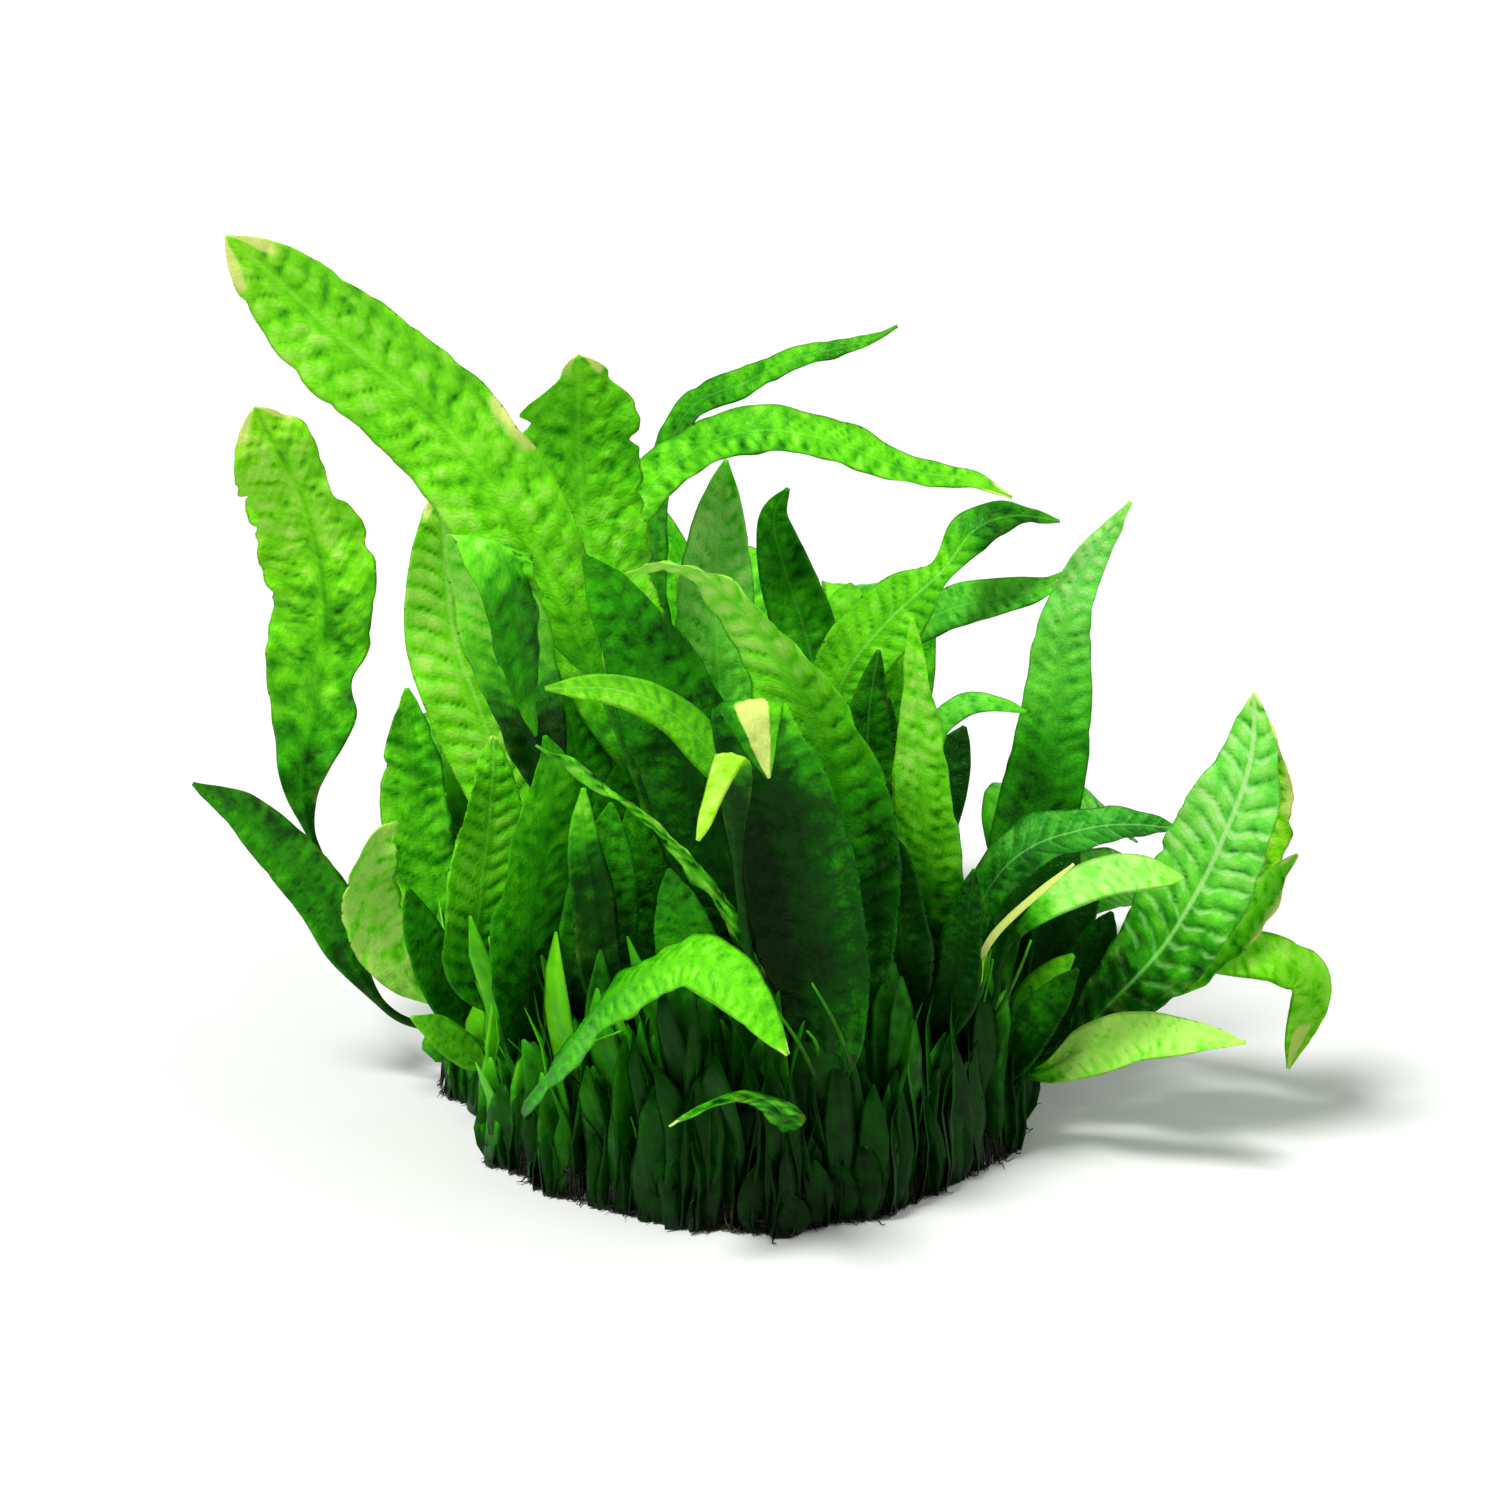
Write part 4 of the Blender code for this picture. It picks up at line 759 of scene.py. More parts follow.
def leaf_tints(leaf, u, v, across, bulges, damp, blade):
    """The painted light fades in the clump's painted shade and over the tip, is painted lighter on the bulges
    and darker in the grooves of the relief and lighter on one side, and follows slow drifts and clouds.

    Warmth follows the light, wear gathers at the margins, and paleness starts along the tip's ragged line or
    is a bell-shaped patch.
    """
    look, number, off = leaf.look, leaf.number, np.abs(u)
    along = v * leaf.length
    fall = smooth_step(look.fade, look.fade + FADE_REACH, v)
    fall = fall - 0.5 * smooth_step(FADE_REACH, FADE_END, v - look.fade)
    lit = smooth_step(look.dim, look.shade, v) * (1 - FADE_DEPTH * fall)
    light = look.light * (LEAST_LIT + (1 - LEAST_LIT) * lit)
    light += 0.05 * ripple(number, 17, along / DRIFT_LONG)
    # painted highlight on the bulges and painted shade in the grooves, and painted light lighter on one side
    # of the blade
    light += (DIM_RELIEF + LIT_RELIEF * look.light * lit) * (bulges + 0.02) * damp * blade + look.tilt * u
    light += 0.07 * ripple(number, 23, u * 8) * (1 - lit) * blade
    light += look.wear * lumps(np.stack([across, along, 0 * across], axis=-1), CLOUD, number + 30) * blade
    warmth = look.warmth * lit + 0.2 * smooth_step(0.9, 1, v)
    wear = look.wear * (0.25 + 0.75 * smooth_step(0.55, 1, off))
    pale = smooth_step(look.pale - 0.02, look.pale + 0.02, v + 0.02 * ripple(number, 19, u * 4))
    pale = pale * (look.pale < 1)
    if look.pale > 0.9:
        pale = pale * smooth_step(0.2, 0.7, off)
    elif look.pale > 0.8:
        pale = pale * smooth_step(TONGUE + 0.15, TONGUE - 0.1, off)
    for place, side, long, broad in PATCHES.get(leaf.name, ()):
        pale = pale + bell((v - place) / long, (u - side) / broad)
    veining = look.veins * (0.25 + 0.75 * lit) * smooth_step(leaf.stalk + 0.1, leaf.stalk + 0.4, v)
    return tints_of(light, warmth, wear, pale, veining)


def leaf_skin(leaf, pucker, ruffle, finish=0):
    """The leaf as a closed skin: rings over its face and back, one ring for each step along the midrib.

    Height over the blade = bulges between side veins, lower near the midrib and the margin, plus margin
    waves that grow with the cube of the way out. Veins leave the midrib slanting towards the tip. The
    blade is thin, and thickens to the stalk along the midrib as a bell curve.
    """
    rows = int(np.clip(leaf.length / ROW_STEP, *ROW_LIMITS))
    columns = 2 * int(np.clip(round(leaf.width / 2 / COLUMN_STEP), *HALF_COLUMN_LIMITS))
    v, u = np.meshgrid(np.linspace(0, 1, rows + 1), np.linspace(-1, 1, columns + 1), indexing="ij")
    gap = max(leaf.width * VEIN_SHARE, LEAST_VEIN_GAP)
    along = v * leaf.length
    half = ragged_half_width(leaf, u, v)
    across = u * half
    out = np.abs(across)
    blade = smooth_step(leaf.stalk, leaf.stalk + BLADE_RISE, v) * (1 - smooth_step(0.95, 1, v))
    veins = (along - VEIN_SLANT * out) / gap + VEIN_OFFSET * np.tanh(across / VEIN_OFFSET_REACH)
    veins += (VEIN_DRIFT * ripple(leaf.number, 2, along / gap * 0.8)
              + VEIN_WIGGLE * ripple(leaf.number, 3, out / gap * 3))
    bulges = blister(leaf, along, across, veins, gap) - 0.5
    damp = smooth_step(0.02, 0.3, np.abs(u)) * (1 - np.abs(u) ** RIM_POWER)
    lift = pucker * leaf.width * bulges * damp * blade
    crumple = leaf.look.crumple
    lift += ruffle * crumple * leaf.width * np.abs(u) ** 3 * along_margins(leaf, u, along, RUFFLES) * blade
    roll = ripple(leaf.number, 13, along / ROLL_LONG) + 0.6 * u * ripple(leaf.number, 14, along / TWIST_LONG)
    lift += ROLL * crumple * leaf.width * roll * blade
    middle, sides, faces = leaf.middle(v)
    sheet = middle + sides * across[..., None] + faces * (LEAF_CUP * half * u**2 + lift)[..., None]
    stalk_thick = STALK_HALF_THICK * (1 - STALK_THINNING * smooth_step(leaf.stalk, 0.95, v))
    thick = BLADE_HALF_THICK + (stalk_thick - BLADE_HALF_THICK) * bell(across / MIDRIB_REACH)
    thick = thick * np.sqrt(1 - u**2)
    top, under = sheet + faces * thick[..., None], sheet - faces * thick[..., None]
    rings = np.concatenate([top, under[:, -2:0:-1]], axis=1)

    places = np.stack([across / gap, veins], axis=-1)
    tints = leaf_tints(leaf, u, v, across, bulges, damp, blade)

    def ring_of(grid):
        return np.concatenate([grid, grid[:, -2:0:-1]], axis=1)

    return loft(rings, ring_of(places), ring_of(tints), finish)


# Rhizomes

SWELLINGS, SWELLING = 9, 0.08
SCALE_ROWS, SCALE_HEIGHT, KNOB_HEIGHT = 60, 0.07, 0.05
END_ROUNDING = (-0.02, 0.025)


def rhizome_radius(share):
    """Tapers to the growing tip and swells a little where leaves have grown."""
    taper = np.minimum(1.0, np.minimum(0.62 + 3.2 * share, 0.5 + 3.6 * (1 - share)))
    return RHIZOME_RADIUS * taper * (1 - SWELLING * (0.5 + 0.5 * np.cos(share * SWELLINGS * math.pi)))


def rhizome_skin(name, rings=150, sides=28):
    """A tube round the rhizome's line: its radius times 1 plus scale-like ridges that wind round it."""
    line = rhizome_line(name, rings)
    share, turn = np.meshgrid(np.linspace(0, 1, rings), np.arange(sides) * 2 * np.pi / sides, indexing="ij")
    tangents = unit(np.gradient(line, axis=0))
    aside = np.cross(tangents, UP)
    over = np.cross(tangents, aside)
    scales = np.abs(np.sin(share * SCALE_ROWS * np.pi / 2 + 2.5 * np.sin(turn * 3 + share * 31)))
    knobs = ripple(SCALE_RIPPLES[name], 3, turn * 2 + share * 40) * KNOB_HEIGHT
    radius = rhizome_radius(share) * (1 - SCALE_HEIGHT + SCALE_HEIGHT * scales + knobs)
    radius = radius * smooth_step(*END_ROUNDING, share) * smooth_step(*END_ROUNDING, 1 - share)
    circle = aside[:, None] * np.cos(turn)[..., None] + over[:, None] * np.sin(turn)[..., None]
    rings_of_corners = line[:, None] + circle * radius[..., None]
    places = np.stack([turn / (2 * np.pi) * 6, share * 40], axis=-1)
    fresh = smooth_step(0.82, 1.0, share)
    return loft(rings_of_corners, places, tints_of(0.15 + 0.25 * scales + 0.35 * fresh))


# Roots

FLOOR_ROOM = 1 * MM  # the ground is taken to end where it is lower than this
FLOOR_HEIGHT = 0.5 * MM
LEAST_HEIGHT = 0.4 * MM  # how high the lowest root's or stem's middle lies
PAD_STEP = 0.13 * MM  # how much higher each pad lies than the one before
WELD_REACH = 0.01 * MM
FELT_LUMPS, FELT_GRAIN, FELT_CLOUD, FELT_LOWEST = 7 * MM, 2.6 * MM, 5 * MM, 0.2 * MM
ROOT_POINTS, ROOT_DRIFT, ROOT_WAVE = 11, 0.4, 0.4 * MM
ROOT_LIFT = (-0.3, 1.0)
HANGING_SHARE = 0.2  # how much of each step is left past the edge of the ground

# Stems and straps. Pairs of places are where a change begins and ends, to the right of or behind the origin.
LEAST_LEAN, MOST_STRAP_LEAN, MOST_STEM_LEAN = 0.02, 0.12, 0.32
SWAY = 0.04
SUNK = 0.8 * MM
SHORTER_RIGHT, SHORTER_RIGHT_PLACES = 0.2, (8 * MM, 40 * MM)
SHORTER_BEHIND, SHORTER_BEHIND_PLACES = 0.35, (-20 * MM, 25 * MM)
# Painted light on the stems and straps: lighter on the left, on the right and behind, and painted shade near
# the ground, which ends lower on the left
LIT_STRAPS_LEFT, LIT_STEMS_LEFT, LIT_LEFT_PLACES = 1.5, 0.6, (-10 * MM, -55 * MM)
LIT_RIGHT, LIT_RIGHT_PLACES = 0.25, (0, 30 * MM)
LIT_BEHIND, LIT_BEHIND_PLACES = 1.1, (8 * MM, 36 * MM)
DARK_FOOT, DARK_HEIGHTS = 0.12, (3 * MM, 40 * MM)  # painted shade: the share of light at the ground, and where it ends
SHADE_LOWERED_LEFT, SHADE_LOWERED_LEFT_PLACES = 14 * MM, (20 * MM, 60 * MM)
SPREAD = 4.0  # how far stems stand from the middle of their rhizome, in millimetres
EDGE_INSET = 11 * MM
SKIRT_REACH = 1.6 * MM
INNER_ACROSS, INNER_BACK = (-42 * MM, 12 * MM), -10 * MM
INNER_TALL, INNER_RADII = (60, 105), (3.2, 5.8)
BOW = 0.8 * MM


def root_pads():
    """Each pad of roots: its two ends and how high its middle lies."""
    for number, places in enumerate((*RHIZOMES.values(), *ROOT_ENDS)):
        yield np.array(places[0]) * MM, np.array(places[-1]) * MM, ROOT_HEIGHT + PAD_STEP * number


def ground(x, y):
    """How high the roots lie: the highest of the pads' half ellipses, the mat's top and just over the floor.

    A pad's dome is half an ellipse across it, narrower towards both of its ends.
    """
    (low_x, low_y, _), (high_x, high_y, top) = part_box("mat")
    on_mat = (x > low_x) & (x < high_x) & (y > low_y) & (y < high_y)
    height = np.where(on_mat, top, FLOOR_HEIGHT)
    place = np.stack([x, y], axis=-1)
    for start, end, middle in root_pads():
        way = end - start
        share = np.clip((place - start) @ way / way.dot(way), 0, 1)
        off = np.linalg.norm(place - start - share[..., None] * way, axis=-1)
        reach = ROOT_HALF_WIDTH * np.minimum(1.0, np.minimum(0.45 + 2.4 * share, 0.4 + 2.6 * (1 - share)))
        dome = middle + ROOT_HALF_HEIGHT * np.sqrt(np.clip(1 - (off / reach) ** 2, 0, 1))
        height = np.maximum(height, np.where(off < reach, dome, 0))
    return height


def felt_skin(name, cell, height, seed):
    """A copy of a node's solid, evened to small cells and pushed along its normals by two sizes of lumps."""
    holder = placed("felt_cage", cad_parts[name].data.copy())
    weld = holder.modifiers.new("Weld", "WELD")
    weld.merge_threshold = WELD_REACH
    even = holder.modifiers.new("Even", "REMESH")
    even.mode = "VOXEL"
    even.voxel_size = cell
    bpy.context.view_layer.update()
    made = bpy.data.meshes.new_from_object(holder.evaluated_get(bpy.context.evaluated_depsgraph_get()))
    bpy.data.objects.remove(holder)

    def read(items, prop, width, kind):
        values = np.zeros(len(items) * width, kind)
        items.foreach_get(prop, values)
        return values

    corners = read(made.vertices, "co", 3, np.float32).reshape(-1, 3).astype(float)
    normals = read(made.vertices, "normal", 3, np.float32).reshape(-1, 3)
    quads = read(made.loops, "vertex_index", 1, np.int32)
    push = lumps(corners, FELT_LUMPS, seed) * 0.6 + lumps(corners, FELT_GRAIN, seed + 1) * 0.4 - 0.3
    corners += normals * (height * push)[:, None]
    corners[:, 2] = np.maximum(corners[:, 2], FELT_LOWEST)
    cloud = 0.4 + 0.4 * lumps(corners, FELT_CLOUD, seed + 2)
    return Surface(corners, quads.reshape(-1, 4), corners[:, :2] * 100, tints_of(cloud))


def on_rhizomes(chance, count):
    """Chance places on the rhizomes' middle lines, shared out by length."""
    lines = [rhizome_line(name) for name in RHIZOMES]
    lengths = np.array([np.linalg.norm(line[-1] - line[0]) for line in lines])
    picks = chance.choice(len(lines), count, p=lengths / lengths.sum())
    steps = chance.integers(1, len(lines[0]) - 1, count)
    return np.stack(lines)[picks, steps]


def on_ground(chance, count, inset=None):
    """Chance places on the roots or the mat, each with a chance heading.

    With an inset, only those places are kept from which a step of the inset that way leads off them.
    """
    low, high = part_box("roots")
    found = np.zeros((0, 3))
    while len(found) < count:
        tried = chance.uniform((low.x, low.y, 0), (high.x, high.y, 2 * np.pi), (count, 3))
        x, y, heading = tried.T
        keep = ground(x, y) > FLOOR_ROOM
        if inset:
            keep &= ground(x + inset * np.cos(heading), y + inset * np.sin(heading)) < FLOOR_ROOM
        found = np.vstack([found, tried[keep]])
    return found[:count, :2], found[:count, 2:]


def creeping_roots(count, seed, inset, reach, radii):
    """Roots that wander over the ground, turning by a chance drift at each step, and hang where it ends.

    Steps past the edge of the ground are cut short, so that a root hangs there and doesn't lie out over the
    floor. The height is the ground's, evened along the root, with a small wave. The reach and the radii are
    the least and the most, in millimetres.
    """
    chance = np.random.default_rng(seed)
    starts, heading = on_ground(chance, count, inset)
    headings = heading + np.cumsum(chance.normal(0, ROOT_DRIFT, (count, ROOT_POINTS - 1)), axis=1)
    step = chance.uniform(*reach, (count, 1, 1)) * MM / (ROOT_POINTS - 1)
    way = np.stack([np.cos(headings), np.sin(headings)], axis=-1) * step
    free = starts[:, None] + np.cumsum(way, axis=1)
    gone = np.cumsum(ground(free[..., 0], free[..., 1]) < FLOOR_ROOM, axis=1) > 0
    way = way * np.where(gone, HANGING_SHARE, 1.0)[..., None]
    place = starts[:, None] + np.concatenate([np.zeros((count, 1, 2)), np.cumsum(way, axis=1)], axis=1)
    t = np.linspace(0, 1, ROOT_POINTS)[None, :]
    z = ground(place[..., 0], place[..., 1]) + chance.uniform(*ROOT_LIFT, (count, 1)) * MM
    z[:, 1:-1] = (z[:, :-2] + 2 * z[:, 1:-1] + z[:, 2:]) / 4
    z = np.maximum(z + ROOT_WAVE * np.sin(t * 14 + heading * 3), LEAST_HEIGHT)
    thick = chance.uniform(*radii, (count, 1)) * MM * (1 - 0.7 * t)
    shade = chance.uniform(0, 1, (count, 1)) ** 2 + 0 * t
    return strands(np.concatenate([place, z[..., None]], axis=-1), thick, tints_of(shade))


def taper_of(t, strap):
    """A strap's width is part of a sine to a low power, widest in its middle. A stem's falls evenly."""
    return np.sin(np.pi * (0.12 + 0.87 * t)) ** 0.7 if strap else 1 - 0.6 * t


def rising(starts, chance, tall, lean, radii, sides, light, flat=1.0, points=6):
    """Thin stems that rise from places on the ground: up by t, leaning out by t squared, swaying by a sine.

    A flat stem is a strap, widest in its middle, that faces roughly the way it leans. Light and shade are
    painted on the stems: dark near the ground with painted shade, lighter the higher they reach, lightest on
    the left and behind. They are shorter on the right and behind. The heights and the radii are the least and
    the most, in millimetres.
    """
    strap = flat < 1
    off, behind = starts @ RIGHT[:2], starts @ BACK[:2]
    count = len(starts)
    t = np.linspace(0, 1, points)[None, :]
    lower = (SHORTER_RIGHT * smooth_step(*SHORTER_RIGHT_PLACES, off)
             + SHORTER_BEHIND * smooth_step(*SHORTER_BEHIND_PLACES, behind))
    tall = chance.uniform(*tall, (count, 1)) * MM * (1 - lower)[:, None]
    spread = tall * chance.uniform(LEAST_LEAN, MOST_STRAP_LEAN if strap else MOST_STEM_LEAN, (count, 1))
    sway = tall * SWAY * np.sin(t * 6 + lean * 2)
    x = starts[:, :1] + (spread * t**2 + sway) * np.cos(lean)
    y = starts[:, 1:] + (spread * t**2 + sway) * np.sin(lean)
    z = np.maximum(ground(starts[:, :1], starts[:, 1:]) - SUNK, LEAST_HEIGHT) + tall * t * (1 - 0.1 * t)
    radii = chance.uniform(*radii, (count, 1)) * MM * taper_of(t, strap)
    # painted light by side, and painted shade near the ground
    side_light = 1 + (LIT_STRAPS_LEFT if strap else LIT_STEMS_LEFT) * smooth_step(*LIT_LEFT_PLACES, off)
    side_light += (LIT_RIGHT * smooth_step(*LIT_RIGHT_PLACES, off)
              + LIT_BEHIND * smooth_step(*LIT_BEHIND_PLACES, behind))
    shade_lowered = SHADE_LOWERED_LEFT * smooth_step(*SHADE_LOWERED_LEFT_PLACES, -off)
    ground_shade = DARK_FOOT + (1 - DARK_FOOT) * smooth_step(*DARK_HEIGHTS, z + shade_lowered[:, None])
    shade = np.clip(light * side_light[:, None] * chance.uniform(0.5, 1.3, (count, 1)) * ground_shade, 0, 1)
    spin = lean[:, 0] + chance.normal(0, 0.6, count)
    return strands(np.stack([x, y, z], axis=-1), radii, tints_of(shade, 0.3 * shade), sides, flat, spin)


def rhizome_stems(count, seed, tall, radii, sides, light, flat=1.0):
    """Thin stems close beside the rhizomes, leaning every way."""
    chance = np.random.default_rng(seed)
    starts = on_rhizomes(chance, count)[:, :2] + chance.normal(0, SPREAD, (count, 2)) * MM
    return rising(starts, chance, tall, chance.uniform(0, 2 * np.pi, (count, 1)), radii, sides, light, flat)


def edge_stems(count, seed, tall, radii, sides, light, flat=1.0):
    """Thin stems round the edge of the roots, leaning outwards a little."""
    chance = np.random.default_rng(seed)
    starts, heading = on_ground(chance, count, EDGE_INSET)
    return rising(starts, chance, tall, heading, radii, sides, light, flat)


def inner_straps(count, seed):
    """Taller straps deep in the clump, facing every way, so that it looks full from its sides too."""
    chance = np.random.default_rng(seed)
    starts = on_rhizomes(chance, 8 * count)
    off = starts @ RIGHT
    deep = (off > INNER_ACROSS[0]) & (off < INNER_ACROSS[1]) & (starts @ BACK > INNER_BACK)
    starts = starts[deep][:count, :2]
    lean = chance.uniform(0, 2 * np.pi, (len(starts), 1))
    return rising(starts, chance, INNER_TALL, lean, INNER_RADII, 8, 0.5, flat=0.12, points=9)


def single_stems(places, radius, light, sides, flat=1.0):
    """Stems or straps at given places: each from its foot to its tip, bowed by a sine of half a turn."""
    ends = np.array([[seen(*end) for end in stem] for stem in places])
    t = np.linspace(0, 1, 9)[None, :, None]
    paths = ends[:, :1] + (ends[:, 1:] - ends[:, :1]) * t + RIGHT * BOW * np.sin(np.pi * t)
    share = t[..., 0] + np.zeros((len(ends), 1))
    tints = tints_of(light * (0.35 + 0.65 * share), 0.5 * light)
    facing = np.full(len(ends), VIEW_TURN - np.pi / 2)
    return strands(paths, radius * taper_of(share, flat < 1), tints, sides, flat, facing)


def skirt_straps(count, seed, tall, radii, light):
    """Straps that stand just outside the edge of the roots, so that they cover it from the floor upwards."""
    chance = np.random.default_rng(seed)
    starts, heading = on_ground(chance, count, SKIRT_REACH)
    starts = starts + SKIRT_REACH * np.concatenate([np.cos(heading), np.sin(heading)], axis=1)
    return rising(starts, chance, tall, heading, radii, 8, light, flat=0.12)


# Mat

CORNER_POWER = 9
# The mat's rings, from its underside to its top: how far each is set in and how high it lies, in millimetres
# of a mat of the height below
MAT_RINGS = ((9, 0), (4, 0), (1.6, 0), (0.9, 0.4), (0.5, 1.2), (0.4, 2.2), (0.4, 3.2), (0.6, 4.2), (1.2, 4.7),
             (2.2, 4.9), (4, 4.9), (7, 4.9), (12, 4.9), (20, 4.9))
MAT_HEIGHT = 5
MAT_SHAKE = 0.35 * MM
FIBRE_POINTS, FIBRE_LENGTHS, FIBRE_CURL, FIBRE_RADII = 9, (10, 34), 1.5, (0.09, 0.24)
RIM_CHANCE = 0.6  # the share of the fibres that lie near the mat's edge
STRAY = 0.7  # how far a fibre sticks out on average, in millimetres


def mat_core(columns=220):
    """A slab of pressed fibre: rings of a rounded rectangle, which is a superellipse, set in at both rims."""
    _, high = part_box("mat")
    half_x, half_y, top = high.x, high.y, high.z
    turn = np.linspace(0, 2 * np.pi, columns, endpoint=False)
    x, y = (np.sign(side) * np.abs(side) ** (2 / CORNER_POWER) for side in (np.cos(turn), np.sin(turn)))
    rings = np.stack([np.stack([x * (half_x - inset * MM), y * (half_y - inset * MM),
                                0 * x + height / MAT_HEIGHT * top], axis=-1) for inset, height in MAT_RINGS])
    shake = lumps(rings, 4 * MM, 5) * MAT_SHAKE * smooth_step(0, 1 * MM, rings[..., 2])
    rings[..., :2] *= (1 - shake / half_x)[..., None]
    return loft(rings, rings[..., :2] * 100, tints_of(0.35 + 0.2 * lumps(rings, 9 * MM, 6)))


def mat_fibres(count, seed):
    """Curled coconut fibres laid flat through the mat: arcs that are held back at its edge, or stick out."""
    chance = np.random.default_rng(seed)
    _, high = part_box("mat")
    t = np.linspace(-0.5, 0.5, FIBRE_POINTS)[None, :]
    heading = chance.uniform(0, np.pi, (count, 1))
    curl = chance.normal(0, FIBRE_CURL, (count, 1))
    length = chance.uniform(*FIBRE_LENGTHS, (count, 1)) * MM
    at_rim = chance.random((count, 1)) < RIM_CHANCE
    angle = chance.uniform(0, 2 * np.pi, (count, 1))
    rim = 1 / np.maximum(np.abs(np.cos(angle)), np.abs(np.sin(angle))) * chance.uniform(0.9, 1.0, (count, 1))
    centre_x = np.where(at_rim, np.cos(angle) * rim, chance.uniform(-1, 1, (count, 1))) * high.x
    centre_y = np.where(at_rim, np.sin(angle) * rim, chance.uniform(-1, 1, (count, 1))) * high.y
    x = centre_x + length * t * np.cos(heading + curl * t)
    y = centre_y + length * t * np.sin(heading + curl * t)
    stray = chance.exponential(STRAY, (count, 1)) * MM
    x = np.clip(x, -high.x - stray, high.x + stray)
    y = np.clip(y, -high.y - stray, high.y + stray)
    z = chance.uniform(0.25, high.z / MM + 0.2, (count, 1)) * MM + 0.5 * MM * np.sin(t * 9 + heading * 5)
    z = np.clip(z, 0.2 * MM, high.z + 0.6 * MM)
    radii = chance.uniform(*FIBRE_RADII, (count, 1)) * MM * (1 - 1.2 * np.abs(t))
    shade = chance.uniform(0.1, 1, (count, 1)) ** 1.5 + 0 * t
    return strands(np.stack([x, y, z], axis=-1), radii, tints_of(shade))


# Materials

LIGHT_SPAN = 1.4  # the light that the leaf colours reach their palest at

# The leaf's colours: the darkest and palest green, yellow and cool greens by light, ribs, worn spots, tips
DARKEST, PALEST = (0.0006, 0.008, 0.0003), (0.45, 0.88, 0.13)
MIDDLE_LIGHTS = (0.3, 0.62, 1)  # the lights at which the settings' three greens are reached
YELLOWS = ((0.0, (0.01, 0.03, 0.001)), (0.5 / LIGHT_SPAN, (0.08, 0.33, 0.002)),
           (1 / LIGHT_SPAN, (0.36, 0.83, 0.01)), (1.0, (0.62, 0.9, 0.12)))
COOL_GREENS = ((0.0, (0.001, 0.014, 0.002)), (0.5 / LIGHT_SPAN, (0.016, 0.2, 0.022)),
               (1 / LIGHT_SPAN, (0.19, 0.7, 0.17)), (1.0, (0.5, 0.9, 0.42)))
RIB_COLOUR = (0.45, 0.75, 0.3, 1)
WORN_COLOURS = ((0.4, (0.14, 0.12, 0.012)), (0.6, (0.6, 0.7, 0.12)))
TIP_COLOUR = (0.72, 0.85, 0.2, 1)
LEAF_SHEEN = (0.45, 1.0, 0.35, 1)
LEAF_DEPTHS, LEAF_DEPTH = (0.35, 1.0, 0.1), 0.8 * MM  # how far light spreads inside by colour, and its scale
LEAF_MARKS = 55.0  # coarse marks for each metre
# How much light the leaf's marks, ribs, midrib and net add or take
COARSE_LIGHT, FINE_LIGHT, RIB_LIGHT, MIDRIB_LIGHT, NET_LIGHT = 0.42, 0.4, 0.2, 0.3, 0.05
LEAST_MIDRIB = 0.12  # how far the midrib shows on a leaf without veins
RIB_PALENESS = 0.6
LEAF_RELIEF, FIBRE_RELIEF = 0.45, 0.6  # the strength of the bumps

# The dull fibres: their colours by light, roughness, marks for each metre and the height of their bumps
FIBRES = {
    "fern_rhizome": (((0.0, (0.012, 0.012, 0.004)), (0.5, (0.05, 0.06, 0.012)), (1.0, (0.14, 0.3, 0.03))),
                     0.6, 240.0, 0.3 * MM),
    "root_felt": (((0.0, (0.001, 0.002, 0.001)), (0.6, (0.004, 0.008, 0.002)), (1.0, (0.014, 0.02, 0.005))),
                  0.75, 300.0, 0.5 * MM),
    "fern_root": (((0.0, (0.002, 0.004, 0.001)), (0.6, (0.009, 0.012, 0.003)), (0.9, (0.022, 0.024, 0.008)),
                   (1.0, (0.07, 0.07, 0.024))), 0.6, 300.0, 0.4 * MM),
    "coconut_fibre": (((0.0, (0.012, 0.006, 0.003)), (0.5, (0.06, 0.03, 0.013)), (1.0, (0.2, 0.11, 0.05))),
                      0.8, 220.0, 0.4 * MM),
}


def node(tree, kind, sockets=(), **settings):
    """Adds a node, sets its properties, and links or sets its inputs from pairs of socket and value."""
    made = tree.nodes.new(kind)
    for name, value in settings.items():
        setattr(made, name, value)
    for place, value in sockets:
        if isinstance(value, bpy.types.NodeSocket):
            tree.links.new(value, made.inputs[place])
        else:
            made.inputs[place].default_value = value
    return made


def maths(tree, operation, first, second=0.0):
    return node(tree, "ShaderNodeMath", ((0, first), (1, second)), operation=operation).outputs[0]


def span(tree, value, low, high, to_low=0.0, to_high=1.0):
    """Maps low..high to to_low..to_high as a smooth step, held at both ends."""
    return node(tree, "ShaderNodeMapRange", (("Value", value), ("From Min", low), ("From Max", high),
                                             ("To Min", to_low), ("To Max", to_high)),
                interpolation_type="SMOOTHSTEP").outputs["Result"]


def blended(tree, factor, first, second):
    """A mix of two colours. The numbers are the places of the node's colour sockets."""
    return node(tree, "ShaderNodeMix", ((0, factor), (6, first), (7, second)), data_type="RGBA").outputs[2]


def swing(tree, value, share):
    """The value's distance from a half, times the share."""
    return maths(tree, "MULTIPLY", maths(tree, "SUBTRACT", value, 0.5), share)


def group(name, inputs, outputs):
    """An empty shader node group with float or vector sockets, and its two end nodes."""
    tree = bpy.data.node_groups.new(name, "ShaderNodeTree")
    for socket, kind in inputs:
        tree.interface.new_socket(socket, in_out="INPUT", socket_type=kind)
    for socket in outputs:
        tree.interface.new_socket(socket, in_out="OUTPUT", socket_type="NodeSocketFloat")
    return tree, tree.nodes.new("NodeGroupInput").outputs, tree.nodes.new("NodeGroupOutput").inputs


